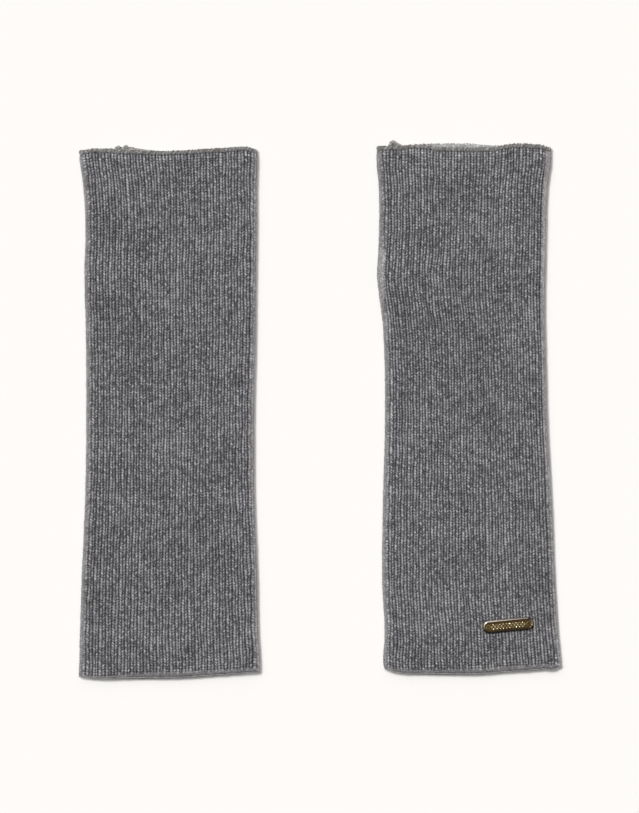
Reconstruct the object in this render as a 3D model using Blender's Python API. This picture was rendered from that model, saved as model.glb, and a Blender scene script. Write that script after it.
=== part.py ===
"""A pair of rib-knit hand warmers laid flat side by side, with a metal bar sewn on the right one.

Sizes are in millimetres and MM turns them into metres. X runs across the pair, Y from the arm
ends to the hand ends, and Z up from the surface that the pair lies on. The origin is on that
surface, under the middle of the pair. Each warmer is one knit panel joined along its left side,
so it is a flat tube of one wall with a thumb slit left open in the side join.
"""

import math
from collections import namedtuple

import bmesh
import bpy
import numpy as np
from mathutils import Matrix

MM = 0.001

# The knit wall
WALL = 1.5
UNDER_WALL = 1.8
FLAT_HEIGHT = 3.9
RIB_HEIGHT = 0.8
RIM_ROUND = 0.9

# The side folds: the flat underside stops short of the widest line, which is halfway up
FOLD_FOOT = 1.2
FOLD_WAIST = 1.9
FOLD_WALL = 1.5
LOFT_REACH = 5.0

# Columns round one ring, and rows along one warmer
RIBS_OVER_TOP = 30
UNDER_COLUMNS = 8
ROOF_COLUMNS = 14
FLOOR_COLUMNS = 10
PLAIN_ROWS = 15
SLIT_ROWS = 6
RIB_SHAPE = (0.0, 1.0, 1.0)

# The thumb slit in the left side, measured from the hand end
SLIT_START = 46.0
SLIT_END = 78.0
SLIT_LOWER_LIP = 2
LIP_REACH = 3.0

# The metal bar near the arm end of the right warmer
BAR_LENGTH = 25.0
BAR_WIDTH = 6.2
BAR_THICKNESS = 1.2
BAR_CORNER = 2.6
BAR_RIM = 0.6
BAR_RECESS = 0.35
BAR_HOLE_RADIUS = 0.65
BAR_HOLE_INSET = 2.4
BAR_CENTRE_X = 93.7
BAR_CENTRE_Y = -105.75
BAR_TURN = 5.5
BAR_WELD = 0.05
LOZENGES = 11
LOZENGE_PITCH = 1.62
LOZENGE_LENGTH = 1.25
LOZENGE_WIDTH = 2.2
LOZENGE_HEIGHT = 0.3
GAP = 0.3

# along is from the hand end. left and right are the outline from the warmer's middle line. A roll
# is how far in from that side the cloth comes up to full height, and a loft is how much it puffs.
Section = namedtuple("Section", "along left right left_roll right_roll left_loft right_loft")
# across is from the left side to the right. front and back say how far each layer runs past the
# nominal end, and welt is the width of the smooth edge where the ribs fade out.
Rim = namedtuple("Rim", "across front back welt")
Warmer = namedtuple("Warmer", "name middle_x hand_y arm_y gape sections hand_rim arm_rim")

LEFT_WARMER = Warmer(
    name="left_warmer",
    middle_x=-75.0,
    hand_y=131.5,
    arm_y=-132.5,
    gape=1.2,
    sections=(
        Section(0, -44.6, 43.4, 2.2, 2.2, 0.0, 0.0),
        Section(5, -45.3, 44.0, 2.3, 2.4, 0.1, 0.2),
        Section(15, -44.2, 43.8, 2.4, 2.4, 0.2, 0.2),
        Section(40, -42.5, 43.7, 2.6, 2.4, 0.2, 0.2),
        Section(60, -43.1, 43.4, 2.6, 2.4, 0.3, 0.2),
        Section(90, -42.4, 43.1, 2.4, 2.4, 0.2, 0.2),
        Section(135, -42.2, 42.3, 2.4, 2.4, 0.2, 0.2),
        Section(175, -42.9, 42.4, 2.4, 2.4, 0.2, 0.2),
        Section(215, -44.7, 43.9, 2.4, 2.4, 0.2, 0.2),
        Section(245, -45.3, 44.4, 2.4, 2.6, 0.2, 0.3),
        Section(260, -45.8, 45.2, 2.4, 2.6, 0.2, 0.2),
        Section(264, -45.4, 44.8, 2.2, 2.4, 0.0, 0.0),
    ),
    hand_rim=(
        Rim(0.00, -0.3, -0.3, 1.0),
        Rim(0.06, -0.7, 0.3, 1.0),
        Rim(0.16, -0.8, 0.6, 1.0),
        Rim(0.24, -1.0, 1.8, 1.0),
        Rim(0.32, -1.0, 0.8, 1.0),
        Rim(0.45, -0.9, -0.3, 1.0),
        Rim(0.70, -0.5, 0.2, 1.0),
        Rim(0.87, 0.5, 1.4, 1.2),
        Rim(0.95, 0.2, 0.8, 1.2),
        Rim(1.00, -0.4, -0.4, 1.2),
    ),
    arm_rim=(
        Rim(0.00, -0.2, -0.2, 1.2),
        Rim(0.10, 0.3, 0.9, 1.4),
        Rim(0.30, 0.2, 0.8, 2.2),
        Rim(0.55, -0.3, 0.4, 3.2),
        Rim(0.75, -0.9, -0.4, 2.4),
        Rim(0.92, -1.7, -1.3, 2.2),
        Rim(1.00, -2.7, -2.7, 2.2),
    ),
)

RIGHT_WARMER = Warmer(
    name="right_warmer",
    middle_x=72.9,
    hand_y=133.5,
    arm_y=-130.5,
    gape=2.2,
    sections=(
        Section(0, -44.7, 42.8, 2.4, 4.0, 0.1, 0.4),
        Section(8, -44.9, 42.8, 2.4, 4.2, 0.2, 0.8),
        Section(18, -44.0, 41.6, 2.4, 4.2, 0.3, 1.0),
        Section(40, -43.7, 40.5, 2.8, 4.0, 0.4, 1.0),
        Section(54, -44.2, 40.2, 3.6, 3.8, 0.6, 1.0),
        Section(64, -44.8, 40.0, 4.0, 3.8, 0.8, 1.0),
        Section(73, -43.7, 39.9, 3.4, 3.8, 0.6, 1.0),
        Section(88, -42.0, 39.9, 2.6, 3.8, 0.3, 1.0),
        Section(105, -41.1, 40.3, 2.4, 3.6, 0.2, 0.9),
        Section(140, -40.8, 41.2, 2.4, 3.4, 0.2, 0.7),
        Section(180, -41.5, 43.2, 2.4, 2.9, 0.2, 0.4),
        Section(220, -41.8, 44.8, 2.4, 2.5, 0.2, 0.2),
        Section(247, -40.9, 46.9, 2.4, 2.6, 0.2, 0.2),
        Section(259, -42.0, 47.9, 2.4, 2.6, 0.2, 0.2),
        Section(264, -41.2, 47.2, 2.2, 2.4, 0.0, 0.0),
    ),
    hand_rim=(
        Rim(0.00, -0.6, -0.6, 1.0),
        Rim(0.08, -1.1, 0.6, 1.0),
        Rim(0.16, -1.2, 0.9, 1.0),
        Rim(0.30, -1.3, 1.0, 1.0),
        Rim(0.50, -1.6, 0.9, 1.0),
        Rim(0.66, -1.0, 0.1, 1.2),
        Rim(0.84, 1.0, 0.7, 1.6),
        Rim(0.95, 0.1, 0.2, 1.2),
        Rim(1.00, -0.6, -0.6, 1.2),
    ),
    arm_rim=(
        Rim(0.00, -1.4, -1.4, 1.6),
        Rim(0.06, -0.6, 0.2, 1.8),
        Rim(0.15, 0.0, 0.7, 2.0),
        Rim(0.40, 0.4, 1.0, 2.4),
        Rim(0.65, -0.1, 0.5, 2.6),
        Rim(0.85, -1.0, -0.6, 2.6),
        Rim(1.00, -1.9, -1.9, 2.4),
    ),
)


def smooth_step(low, high, value):
    """0 below low, 1 above high, and an even slope between."""
    t = np.clip((np.asarray(value, float) - low) / (high - low), 0.0, 1.0)
    return t * t * (3.0 - 2.0 * t)


def column(rows, name, at):
    """A table column's value at a place between its rows, on a smooth curve through them."""
    places = np.array([row[0] for row in rows], float)
    values = np.array([getattr(row, name) for row in rows], float)
    slopes = np.gradient(values, places)
    at = np.clip(np.asarray(at, float), places[0], places[-1])
    i = np.clip(np.searchsorted(places, at, side="right") - 1, 0, len(places) - 2)
    step = places[i + 1] - places[i]
    t = (at - places[i]) / step
    rise = values[i + 1] - values[i]
    ease = t * t * (3.0 - 2.0 * t)
    bend = t * (1.0 - t) * ((1.0 - t) * slopes[i] * step - t * slopes[i + 1] * step)
    return values[i] + rise * ease + bend


def section_at(warmer, along):
    """The warmer's section at a distance from its hand end."""
    names = Section._fields[1:]
    return Section(along, *(float(column(warmer.sections, n, along)) for n in names))


def length_of(warmer):
    return warmer.hand_y - warmer.arm_y


def slit_open(warmer, along):
    """How far each lip of the thumb slit stands from its rest line, at a distance from the end."""
    share = np.clip((along - SLIT_START) / (SLIT_END - SLIT_START), 0.0, 1.0)
    return 0.5 * warmer.gape * math.sin(math.pi * share) ** 0.8


def arc(centre_x, radius_x, radius_z, first, last, points=10):
    """Points (x, z) of part of an ellipse whose middle is at the height of the fold's waist."""
    turn = np.radians(np.linspace(first, last, points))
    return np.stack([centre_x + radius_x * np.cos(turn), FOLD_WAIST + radius_z * np.sin(turn)], 1)


def top_height(section, x, left, right):
    """Height of the plain outer face over the two layers, between the folds."""
    from_left = np.exp(-np.maximum(x - left, 0.0) / LOFT_REACH)
    from_right = np.exp(-np.maximum(right - x, 0.0) / LOFT_REACH)
    return FLAT_HEIGHT + section.left_loft * from_left + section.right_loft * from_right


def upper_profile(section):
    """The plain outer face from the left foot, over the top, to the right foot, as (x, z)."""
    left = section.left + RIB_HEIGHT
    right = section.right - RIB_HEIGHT
    flat_from = left + section.left_roll
    flat_to = right - section.right_roll
    x = np.linspace(flat_from, flat_to, 60)
    flat = np.stack([x, top_height(section, x, flat_from, flat_to)], 1)
    left_rise = flat[0, 1] - FOLD_WAIST
    right_rise = flat[-1, 1] - FOLD_WAIST
    parts = [
        arc(left + FOLD_FOOT, FOLD_FOOT, FOLD_WAIST, -90, -180),
        arc(flat_from, section.left_roll, left_rise, 180, 90)[1:],
        flat[1:-1],
        arc(flat_to, section.right_roll, right_rise, 90, 0),
        arc(right - FOLD_FOOT, FOLD_FOOT, FOLD_WAIST, 0, -90)[1:],
    ]
    return np.concatenate(parts)


def evenly_spaced(profile, count):
    """count points along a profile, the same length of it apart, and the normal at each."""
    steps = np.linalg.norm(np.diff(profile, axis=0), axis=1)
    length = np.concatenate([[0.0], np.cumsum(steps)])
    at = np.linspace(0.0, length[-1], count)
    points = np.stack([np.interp(at, length, profile[:, i]) for i in (0, 1)], 1)
    tangent = np.gradient(points, axis=0)
    tangent /= np.linalg.norm(tangent, axis=1)[:, None]
    return points, np.stack([-tangent[:, 1], tangent[:, 0]], 1)


def ends_y(warmer, across, back_share, along):
    """Y of points that lie at a share of the way from the hand rim to the arm rim."""
    rims = []
    for rim in (warmer.hand_rim, warmer.arm_rim):
        front = column(rim, "front", across)
        back = column(rim, "back", across)
        rims.append(front + (back - front) * back_share)
    hand = warmer.hand_y + rims[0]
    arm = warmer.arm_y - rims[1]
    return hand + (arm - hand) * along / length_of(warmer)


def rib_relief(warmer, across, points, along):
    """Height of the ribs over the plain face: none underneath, and fading out in each welt."""
    shape = np.resize(RIB_SHAPE, len(points))
    shape[-1] = 0.0
    from_arm = length_of(warmer) - along
    hand_fade = smooth_step(0.2, 1.0, along / column(warmer.hand_rim, "welt", across))
    arm_fade = smooth_step(0.2, 1.0, from_arm / column(warmer.arm_rim, "welt", across))
    off_floor = smooth_step(0.0, 1.2, points[:, 1])
    return RIB_HEIGHT * shape * off_floor * hand_fade * arm_fade


def rounding(warmer, along):
    """How far the rim's round edge draws the face in, at a distance from the hand end."""
    from_rim = min(along, length_of(warmer) - along)
    rise = max(0.0, 1.0 - from_rim / RIM_ROUND)
    return RIM_ROUND * (1.0 - math.sqrt(1.0 - rise * rise))


def outer_ring(warmer, along):
    """The ring's outer points: over the top from the left foot, then back under the warmer."""
    section = section_at(warmer, along)
    count = RIBS_OVER_TOP * len(RIB_SHAPE) + 1
    points, normals = evenly_spaced(upper_profile(section), count)
    across = (points[:, 0] - points[0, 0]) / (points[-1, 0] - points[0, 0])
    back_share = 1.0 - smooth_step(0.3, 3.0, points[:, 1])
    off_floor = smooth_step(0.0, 1.2, points[:, 1])
    relief = rib_relief(warmer, across, points, along) - rounding(warmer, along) * off_floor
    points = points + normals * relief[:, None]
    opened = slit_open(warmer, along)
    if opened > 0.0:
        index = np.arange(count)
        upper = np.where(index > SLIT_LOWER_LIP, opened, 0.0)
        lower = np.where(index <= SLIT_LOWER_LIP, -opened, 0.0)
        reach = np.clip(1.0 - np.abs(index - SLIT_LOWER_LIP - 0.5) / LIP_REACH, 0.0, 1.0)
        points[:, 1] += (upper + lower) * reach * off_floor
    top = np.stack([points[:, 0], ends_y(warmer, across, back_share, along), points[:, 1]], 1)
    under_across = np.linspace(1.0, 0.0, UNDER_COLUMNS + 2)[1:-1]
    under_x = points[0, 0] + (points[-1, 0] - points[0, 0]) * under_across
    under_y = ends_y(warmer, under_across, 1.0, along)
    under = np.stack([under_x, under_y, np.zeros(UNDER_COLUMNS)], 1)
    return np.concatenate([top, under])


def inner_ring(warmer, along):
    """The ring's plain inner points: along the roof from the left, then back along the floor."""
    section = section_at(warmer, along)
    left = section.left + RIB_HEIGHT + FOLD_WALL
    right = section.right - RIB_HEIGHT - FOLD_WALL
    profile = upper_profile(section)
    over = profile[profile[:, 1] > FOLD_WAIST]
    rings = []
    for count, is_roof in ((ROOF_COLUMNS, True), (FLOOR_COLUMNS, False)):
        share = 0.5 - 0.5 * np.cos(np.linspace(0.0, math.pi, count + 1))
        x = left + (right - left) * share
        if is_roof:
            outer_z = np.interp(x, over[:, 0], over[:, 1])
            closing = np.sqrt(np.clip(np.minimum(x - left, right - x) / 2.0, 0.0, 1.0))
            z = UNDER_WALL + 0.12 + (outer_z - WALL - UNDER_WALL - 0.12) * closing
            z[0] += 0.5 * slit_open(warmer, along)
        else:
            z = np.full(count + 1, UNDER_WALL - rounding(warmer, along))
            z[0] -= 0.3 * slit_open(warmer, along)
        y = ends_y(warmer, share, 0.0 if is_roof else 1.0, along)
        ring = np.stack([x, y, z], 1)
        rings.append(ring if is_roof else ring[::-1])
    return np.concatenate(rings)


def row_places(warmer):
    """Distances of the rows from the hand end, closer at the rims and along the thumb slit."""
    length = length_of(warmer)
    rim = [0.0, 0.3, 1.0, 2.6]
    before = np.linspace(rim[-1], SLIT_START, 5)[1:-1]
    slit = np.linspace(SLIT_START, SLIT_END, SLIT_ROWS + 1)
    after = np.linspace(SLIT_END, length - rim[-1], PLAIN_ROWS - 3)[1:-1]
    return np.concatenate([rim, before, slit, after, length - np.array(rim[::-1])])


def zip_rings(bm, outer, inner, outer_at, inner_at):
    """Closes a rim with triangles between two rings of different counts, by place round them."""
    i = j = 0
    while i < len(outer) or j < len(inner):
        next_outer = outer_at[i + 1] if i + 1 < len(outer) else 2.0
        next_inner = inner_at[j + 1] if j + 1 < len(inner) else 2.0
        here = (outer[i % len(outer)], inner[j % len(inner)])
        if j == len(inner) or (i < len(outer) and next_outer <= next_inner):
            i += 1
            bm.faces.new((*here, outer[i % len(outer)]))
        else:
            j += 1
            bm.faces.new((*here, inner[j % len(inner)]))


def places_round(outer, inner, over_top):
    """Where two rings' points lie round them: 0 to 1 over the top, and 1 to 2 back under."""
    outer_x = np.array([v.co.x for v in outer])
    outer_z = np.array([v.co.z for v in outer])
    inner_x = np.array([v.co.x for v in inner])
    top = np.linspace(0.0, 1.0, over_top)
    left, right = outer_x[0], outer_x[over_top - 1]
    under = 2.0 - (outer_x[over_top:] - left) / (right - left)
    above = outer_z[:over_top] > FOLD_WAIST
    roof = np.interp(inner_x[: ROOF_COLUMNS + 1], outer_x[:over_top][above], top[above])
    floor = 2.0 - (inner_x[ROOF_COLUMNS + 1 :] - left) / (right - left)
    floor[0] = 0.5 * (1.0 + roof[-1])
    return np.concatenate([top, under]), np.concatenate([roof, floor])


def join_rings(bm, rings, open_column, open_rows):
    """Quads between neighbouring rings, leaving one column open along the slit's rows."""
    count = len(rings[0])
    for row in range(len(rings) - 1):
        for i in range(count):
            if i == open_column and row in open_rows:
                continue
            j = (i + 1) % count
            bm.faces.new((rings[row][i], rings[row][j], rings[row + 1][j], rings[row + 1][i]))


def close_slit_wall(bm, outer, inner, rows):
    """The cut faces of the thumb slit: both lips, and a short face at each end."""
    lips = [
        [(o[SLIT_LOWER_LIP + 1], i[0]) for o, i in zip(outer, inner)],
        [(o[SLIT_LOWER_LIP], i[-1]) for o, i in zip(outer, inner)],
    ]
    for lip in lips:
        for row in rows:
            bm.faces.new((*lip[row], *reversed(lip[row + 1])))
    for row in (rows[0], rows[-1] + 1):
        bm.faces.new((*lips[0][row], *reversed(lips[1][row])))


def knit_warmer(warmer, material):
    """One warmer: a ribbed outer wall over a plain inner one, open at both ends."""
    bm = bmesh.new()
    places = row_places(warmer)
    outer = [[bm.verts.new(p) for p in outer_ring(warmer, at)] for at in places]
    inner = [[bm.verts.new(p) for p in inner_ring(warmer, at)] for at in places]
    first = int(np.searchsorted(places, SLIT_START))
    slit_rows = range(first, first + SLIT_ROWS)
    join_rings(bm, outer, SLIT_LOWER_LIP, slit_rows)
    join_rings(bm, inner, len(inner[0]) - 1, slit_rows)
    close_slit_wall(bm, outer, inner, slit_rows)
    over_top = RIBS_OVER_TOP * len(RIB_SHAPE) + 1
    for row in (0, -1):
        zip_rings(bm, outer[row], inner[row], *places_round(outer[row], inner[row], over_top))
    return finished(warmer.name, bm, material, (warmer.middle_x, 0.0, 0.0), sharp_degrees=50)


def finished(name, bm, material, place, sharp_degrees):
    """Makes an object of a mesh modelled in millimetres, with its origin at a place in them."""
    bmesh.ops.recalc_face_normals(bm, faces=bm.faces)
    bmesh.ops.scale(bm, vec=(MM, MM, MM), verts=bm.verts)
    mesh = bpy.data.meshes.new(name)
    bm.to_mesh(mesh)
    bm.free()
    mesh.shade_smooth()
    mesh.set_sharp_from_angle(angle=math.radians(sharp_degrees))
    mesh.materials.append(material)
    obj = bpy.data.objects.new(name, mesh)
    obj.location = [size * MM for size in place]
    bpy.context.scene.collection.objects.link(obj)
    return obj


def rounded_outline(length, width, corner, corner_points=5):
    """The corners of a rounded rectangle, anticlockwise, as (x, y)."""
    points = []
    for turn, side_x, side_y in ((0, 1, 1), (90, -1, 1), (180, -1, -1), (270, 1, -1)):
        for step in np.linspace(0.0, 90.0, corner_points):
            angle = math.radians(turn + step)
            x = side_x * (length / 2 - corner) + corner * math.cos(angle)
            y = side_y * (width / 2 - corner) + corner * math.sin(angle)
            points.append((x, y))
    return points


def prism(bm, outline, bottom, top):
    """A closed upright solid of an outline."""
    base = bm.faces.new([bm.verts.new((x, y, bottom)) for x, y in outline])
    made = bmesh.ops.extrude_face_region(bm, geom=[base])["geom"]
    moved = [v for v in made if isinstance(v, bmesh.types.BMVert)]
    bmesh.ops.translate(bm, verts=moved, vec=(0.0, 0.0, top - bottom))
    return bm


def helper(name, bm):
    """A tool for a Boolean, which isn't part of the object."""
    obj = finished(name, bm, bar_metal, (0.0, 0.0, 0.0), sharp_degrees=30)
    obj.hide_render = True
    obj.display_type = "WIRE"
    return obj


def boolean(obj, operation, tool):
    modifier = obj.modifiers.new(tool.name, "BOOLEAN")
    modifier.operation = operation
    modifier.object = tool


def lozenge_row():
    """Raised lozenges along the bar's sunk field, each a low four-sided point."""
    bm = bmesh.new()
    half_x, half_y = LOZENGE_LENGTH / 2, LOZENGE_WIDTH / 2
    field = BAR_THICKNESS - BAR_RECESS
    for n in range(LOZENGES):
        x = (n - (LOZENGES - 1) / 2) * LOZENGE_PITCH
        corners = [(half_x, 0), (0, half_y), (-half_x, 0), (0, -half_y)]
        foot = [bm.verts.new((x + dx, dy, field - 0.2)) for dx, dy in corners]
        edge = [bm.verts.new((x + dx, dy, field + 0.08)) for dx, dy in corners]
        point = bm.verts.new((x, 0.0, field + LOZENGE_HEIGHT))
        bm.faces.new(foot[::-1])
        for i in range(4):
            j = (i + 1) % 4
            bm.faces.new((foot[i], foot[j], edge[j], edge[i]))
            bm.faces.new((edge[i], edge[j], point))
    return bm


def bar_holes():
    """Two round cutters, for the holes that the bar is sewn on through."""
    bm = bmesh.new()
    for side in (-1, 1):
        place = Matrix.Translation((side * (BAR_LENGTH / 2 - BAR_HOLE_INSET), 0, BAR_THICKNESS / 2))
        bmesh.ops.create_cone(
            bm,
            cap_ends=True,
            segments=16,
            radius1=BAR_HOLE_RADIUS,
            radius2=BAR_HOLE_RADIUS,
            depth=3 * BAR_THICKNESS,
            matrix=place,
        )
    return bm


def crest_height(warmer, x, y):
    """Height of the rib crests at a place on a warmer's upper side."""
    section = section_at(warmer, warmer.hand_y - y)
    flat_from = section.left + RIB_HEIGHT + section.left_roll
    flat_to = section.right - RIB_HEIGHT - section.right_roll
    return float(top_height(section, x - warmer.middle_x, flat_from, flat_to)) + RIB_HEIGHT


def top_face(bm):
    """The highest face, and the largest where several are level."""
    return max(bm.faces, key=lambda f: (round(f.calc_center_median().z, 3), f.calc_area()))


def metal_bar(material):
    """The bar: a rounded plate with a raised rim, a sunk field of lozenges and two holes."""
    bm = prism(bmesh.new(), rounded_outline(BAR_LENGTH, BAR_WIDTH, BAR_CORNER), 0.0, BAR_THICKNESS)
    top = top_face(bm)
    outer_edges = list(top.edges)
    bmesh.ops.bevel(bm, geom=outer_edges, offset=0.18, segments=2, affect="EDGES", profile=0.5)
    bm.faces.ensure_lookup_table()
    top = top_face(bm)
    bmesh.ops.inset_individual(bm, faces=[top], thickness=BAR_RIM - 0.18)
    bmesh.ops.inset_individual(bm, faces=[top], thickness=0.12, depth=-BAR_RECESS)
    ends = [BAR_CENTRE_X + side * BAR_LENGTH / 2 for side in (-1, 1)]
    seat = max(crest_height(RIGHT_WARMER, x, BAR_CENTRE_Y) for x in ends) + GAP
    bar = finished("metal_bar", bm, material, (BAR_CENTRE_X, BAR_CENTRE_Y, seat), sharp_degrees=30)
    bar.rotation_euler.z = math.radians(BAR_TURN)
    for name, operation, made in (
        ("bar_lozenges", "UNION", lozenge_row()),
        ("bar_holes", "DIFFERENCE", bar_holes()),
    ):
        tool = helper(name, made)
        tool.parent = bar
        boolean(bar, operation, tool)
    weld = bar.modifiers.new("weld", "WELD")
    weld.merge_threshold = BAR_WELD * MM
    return bar


def principled(name, colour, roughness, metallic):
    material = bpy.data.materials.new(name)
    material.use_nodes = True
    shader = material.node_tree.nodes["Principled BSDF"]
    shader.inputs["Base Color"].default_value = (*colour, 1.0)
    shader.inputs["Roughness"].default_value = roughness
    shader.inputs["Metallic"].default_value = metallic
    return material


for old in list(bpy.data.objects):
    bpy.data.objects.remove(old)

knit_grey = principled("grey rib knit", (0.15, 0.147, 0.153), 0.95, 0.0)
bar_metal = principled("polished gold-coloured metal", (0.70, 0.52, 0.27), 0.25, 1.0)

for pair_member in (LEFT_WARMER, RIGHT_WARMER):
    knit_warmer(pair_member, knit_grey)
metal_bar(bar_metal)
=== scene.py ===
import math
from collections import namedtuple

import bmesh
import bpy
import numpy as np
from mathutils import Matrix, Vector
from mathutils.geometry import tessellate_polygon


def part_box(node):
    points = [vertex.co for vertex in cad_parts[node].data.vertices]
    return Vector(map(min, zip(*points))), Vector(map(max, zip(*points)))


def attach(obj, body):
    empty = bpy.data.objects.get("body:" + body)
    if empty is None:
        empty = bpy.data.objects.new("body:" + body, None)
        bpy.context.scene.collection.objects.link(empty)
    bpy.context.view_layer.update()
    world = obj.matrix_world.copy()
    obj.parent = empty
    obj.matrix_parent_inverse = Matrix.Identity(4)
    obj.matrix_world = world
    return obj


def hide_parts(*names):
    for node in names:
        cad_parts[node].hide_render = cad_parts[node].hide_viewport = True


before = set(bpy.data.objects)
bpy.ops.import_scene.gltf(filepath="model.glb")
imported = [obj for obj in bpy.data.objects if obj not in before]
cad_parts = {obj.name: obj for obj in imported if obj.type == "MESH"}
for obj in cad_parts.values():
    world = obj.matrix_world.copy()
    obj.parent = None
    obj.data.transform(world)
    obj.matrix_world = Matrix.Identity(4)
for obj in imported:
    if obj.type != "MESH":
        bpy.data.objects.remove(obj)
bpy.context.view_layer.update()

# The knit warmers
# Each warmer is one panel of fine 1x1 rib knit in a mottled grey yarn. It is folded round and
# joined down its left side, so it lies as a flat tube, open at the hand and arm ends. Each raised
# rib is one column of V stitches, and a thumb slit is left open in the join. Sizes are in mm.

MM = 0.001
WALL = 1.5
UNDER_WALL = 1.8
FLAT_HEIGHT = 3.9
RIM_ROUND = 0.9
FOLD_INSET = 0.8
FOLD_FOOT = 1.2
FOLD_WAIST = 1.9
LOFT_REACH = 5.0
ARC_POINTS = 12
TOP_POINTS = 90
RIBS_OVER = 30
RIBS_UNDER = 28
UNDER_GROOVE = 0.5
ROOF_COLUMNS = 10
FLOOR_COLUMNS = 6
COURSE = 1.39
RIM_DEPTH = 1.9
RIM_ROWS = (0.0, 0.12, 0.4, 0.8, 1.15, 1.5)
RIM_UNEVEN = 0.07
HAND_BEAD = 0.35
ARM_BEAD = 0.4
BEAD_RIPPLE = 0.07
# The crease below the hand rim is a groove in the cloth whose colour also gets painted shade, with
# a paler band just below it
CREASE_AT = 2.1
CREASE_WIDTH = 0.5
CREASE_DEPTH = 0.3
BELOW_CREASE = 3.4
BELOW_CREASE_WIDTH = 0.8
BELOW_CREASE_PALE = 0.7
# Painted light on the inside near both rims, where it lies in shade
INSIDE_PAINTED_LIGHT = 0.9
INSIDE_PAINTED_LIGHT_REACH = 5.0
INSIDE_GAP = 0.12
# Painted light on the left fold, in a band a little way in from its edge
LEFT_FOLD_PAINTED_LIGHT = 1.9
LEFT_PALE_AT = 3.2
LEFT_PALE_WIDTH = 0.4
# Painted shade on the outer edge of the left fold
LEFT_EDGE_PAINTED_SHADE = 0.55
# Painted light on the right fold and on its outermost edge
RIGHT_FOLD_PAINTED_LIGHT = 3.2
RIGHT_EDGE_PAINTED_LIGHT = 1.8
# Painted light on the rounded arm end, and on the underside near it
ARM_END_PAINTED_LIGHT = 2.7
UNDER_END_PAINTED_LIGHT = 0.75
# Painted shade on the arm welts, where they round down to the floor
WELT_PAINTED_SHADE = 1.35
STRIP_WIDTH = 2.5
STRIP_FLARE = 1.3
STRIP_FLARE_FADE = 12.0
SLACK_WIDTH = 3.5
SLACK_HEIGHT = 0.35
SLACK_FLATTENS = 0.7
SLACK_EVENS = 0.6
SIDE_SLACK = 0.7
FOLD_SMOOTH = 1.7
LEFT_FOLD_SMOOTH = 2.3
STITCH_SLANT = 1.0
SLANT_FADE = 9.0
SLIT_START = 46.0
SLIT_END = 78.0
LIP_REACH = 8.0
STITCH_UNEVEN = 0.045

# Between which two values something fades in or out: mm from a side, an end or the surface, and
# shares of a welt's width
LEFT_EDGE = (0.8, 2.2)
RIGHT_EDGE = (0.6, 2.2)
ARM_END = (0.35, 0.75)
UNDER_END = (0.2, 1.2)
OFF_FLOOR = (0.0, 1.2)
BACK_FACE = (0.3, 3.0)
HAND_RIBS = (0.55, 1.1)
ARM_RIBS = (0.5, 1.15)
ARM_WELT = (0.38, 0.95)


def table(kind, *rows):
    """A table's rows, each with named columns."""
    return tuple(kind(*row) for row in rows)


# Where each column of a rib lies across it, its height over the plain face, and how far it
# swells with each stitch. The two high columns are the legs of the V.
Strand = namedtuple("Strand", "place height swell")
STRANDS = table(
    Strand,
    (0.00, -0.30, 0.03), (0.13, 0.30, 0.10), (0.27, 0.85, 0.12),
    (0.50, 0.15, 0.16), (0.73, 0.85, 0.12), (0.87, 0.30, 0.10),
)
SLIT_LOWER_LIP = len(STRANDS) - 1

# along is from the hand end, left and right are the outline, a roll is how far in from that side
# the cloth comes up to full height, a loft is how much it puffs, and a slack is how far the ribs
# are pulled flat on that side's roll.
Section = namedtuple(
    "Section", "along left right left_roll right_roll left_loft right_loft left_slack right_slack"
)
# across is from left to right, front and back say how far each layer runs past the nominal end,
# and welt is the width of the smooth edge where the ribs fade out.
Rim = namedtuple("Rim", "across front back welt")
Warmer = namedtuple("Warmer", "node middle_x hand_y arm_y gape seed sections hand_rim arm_rim")

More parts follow.
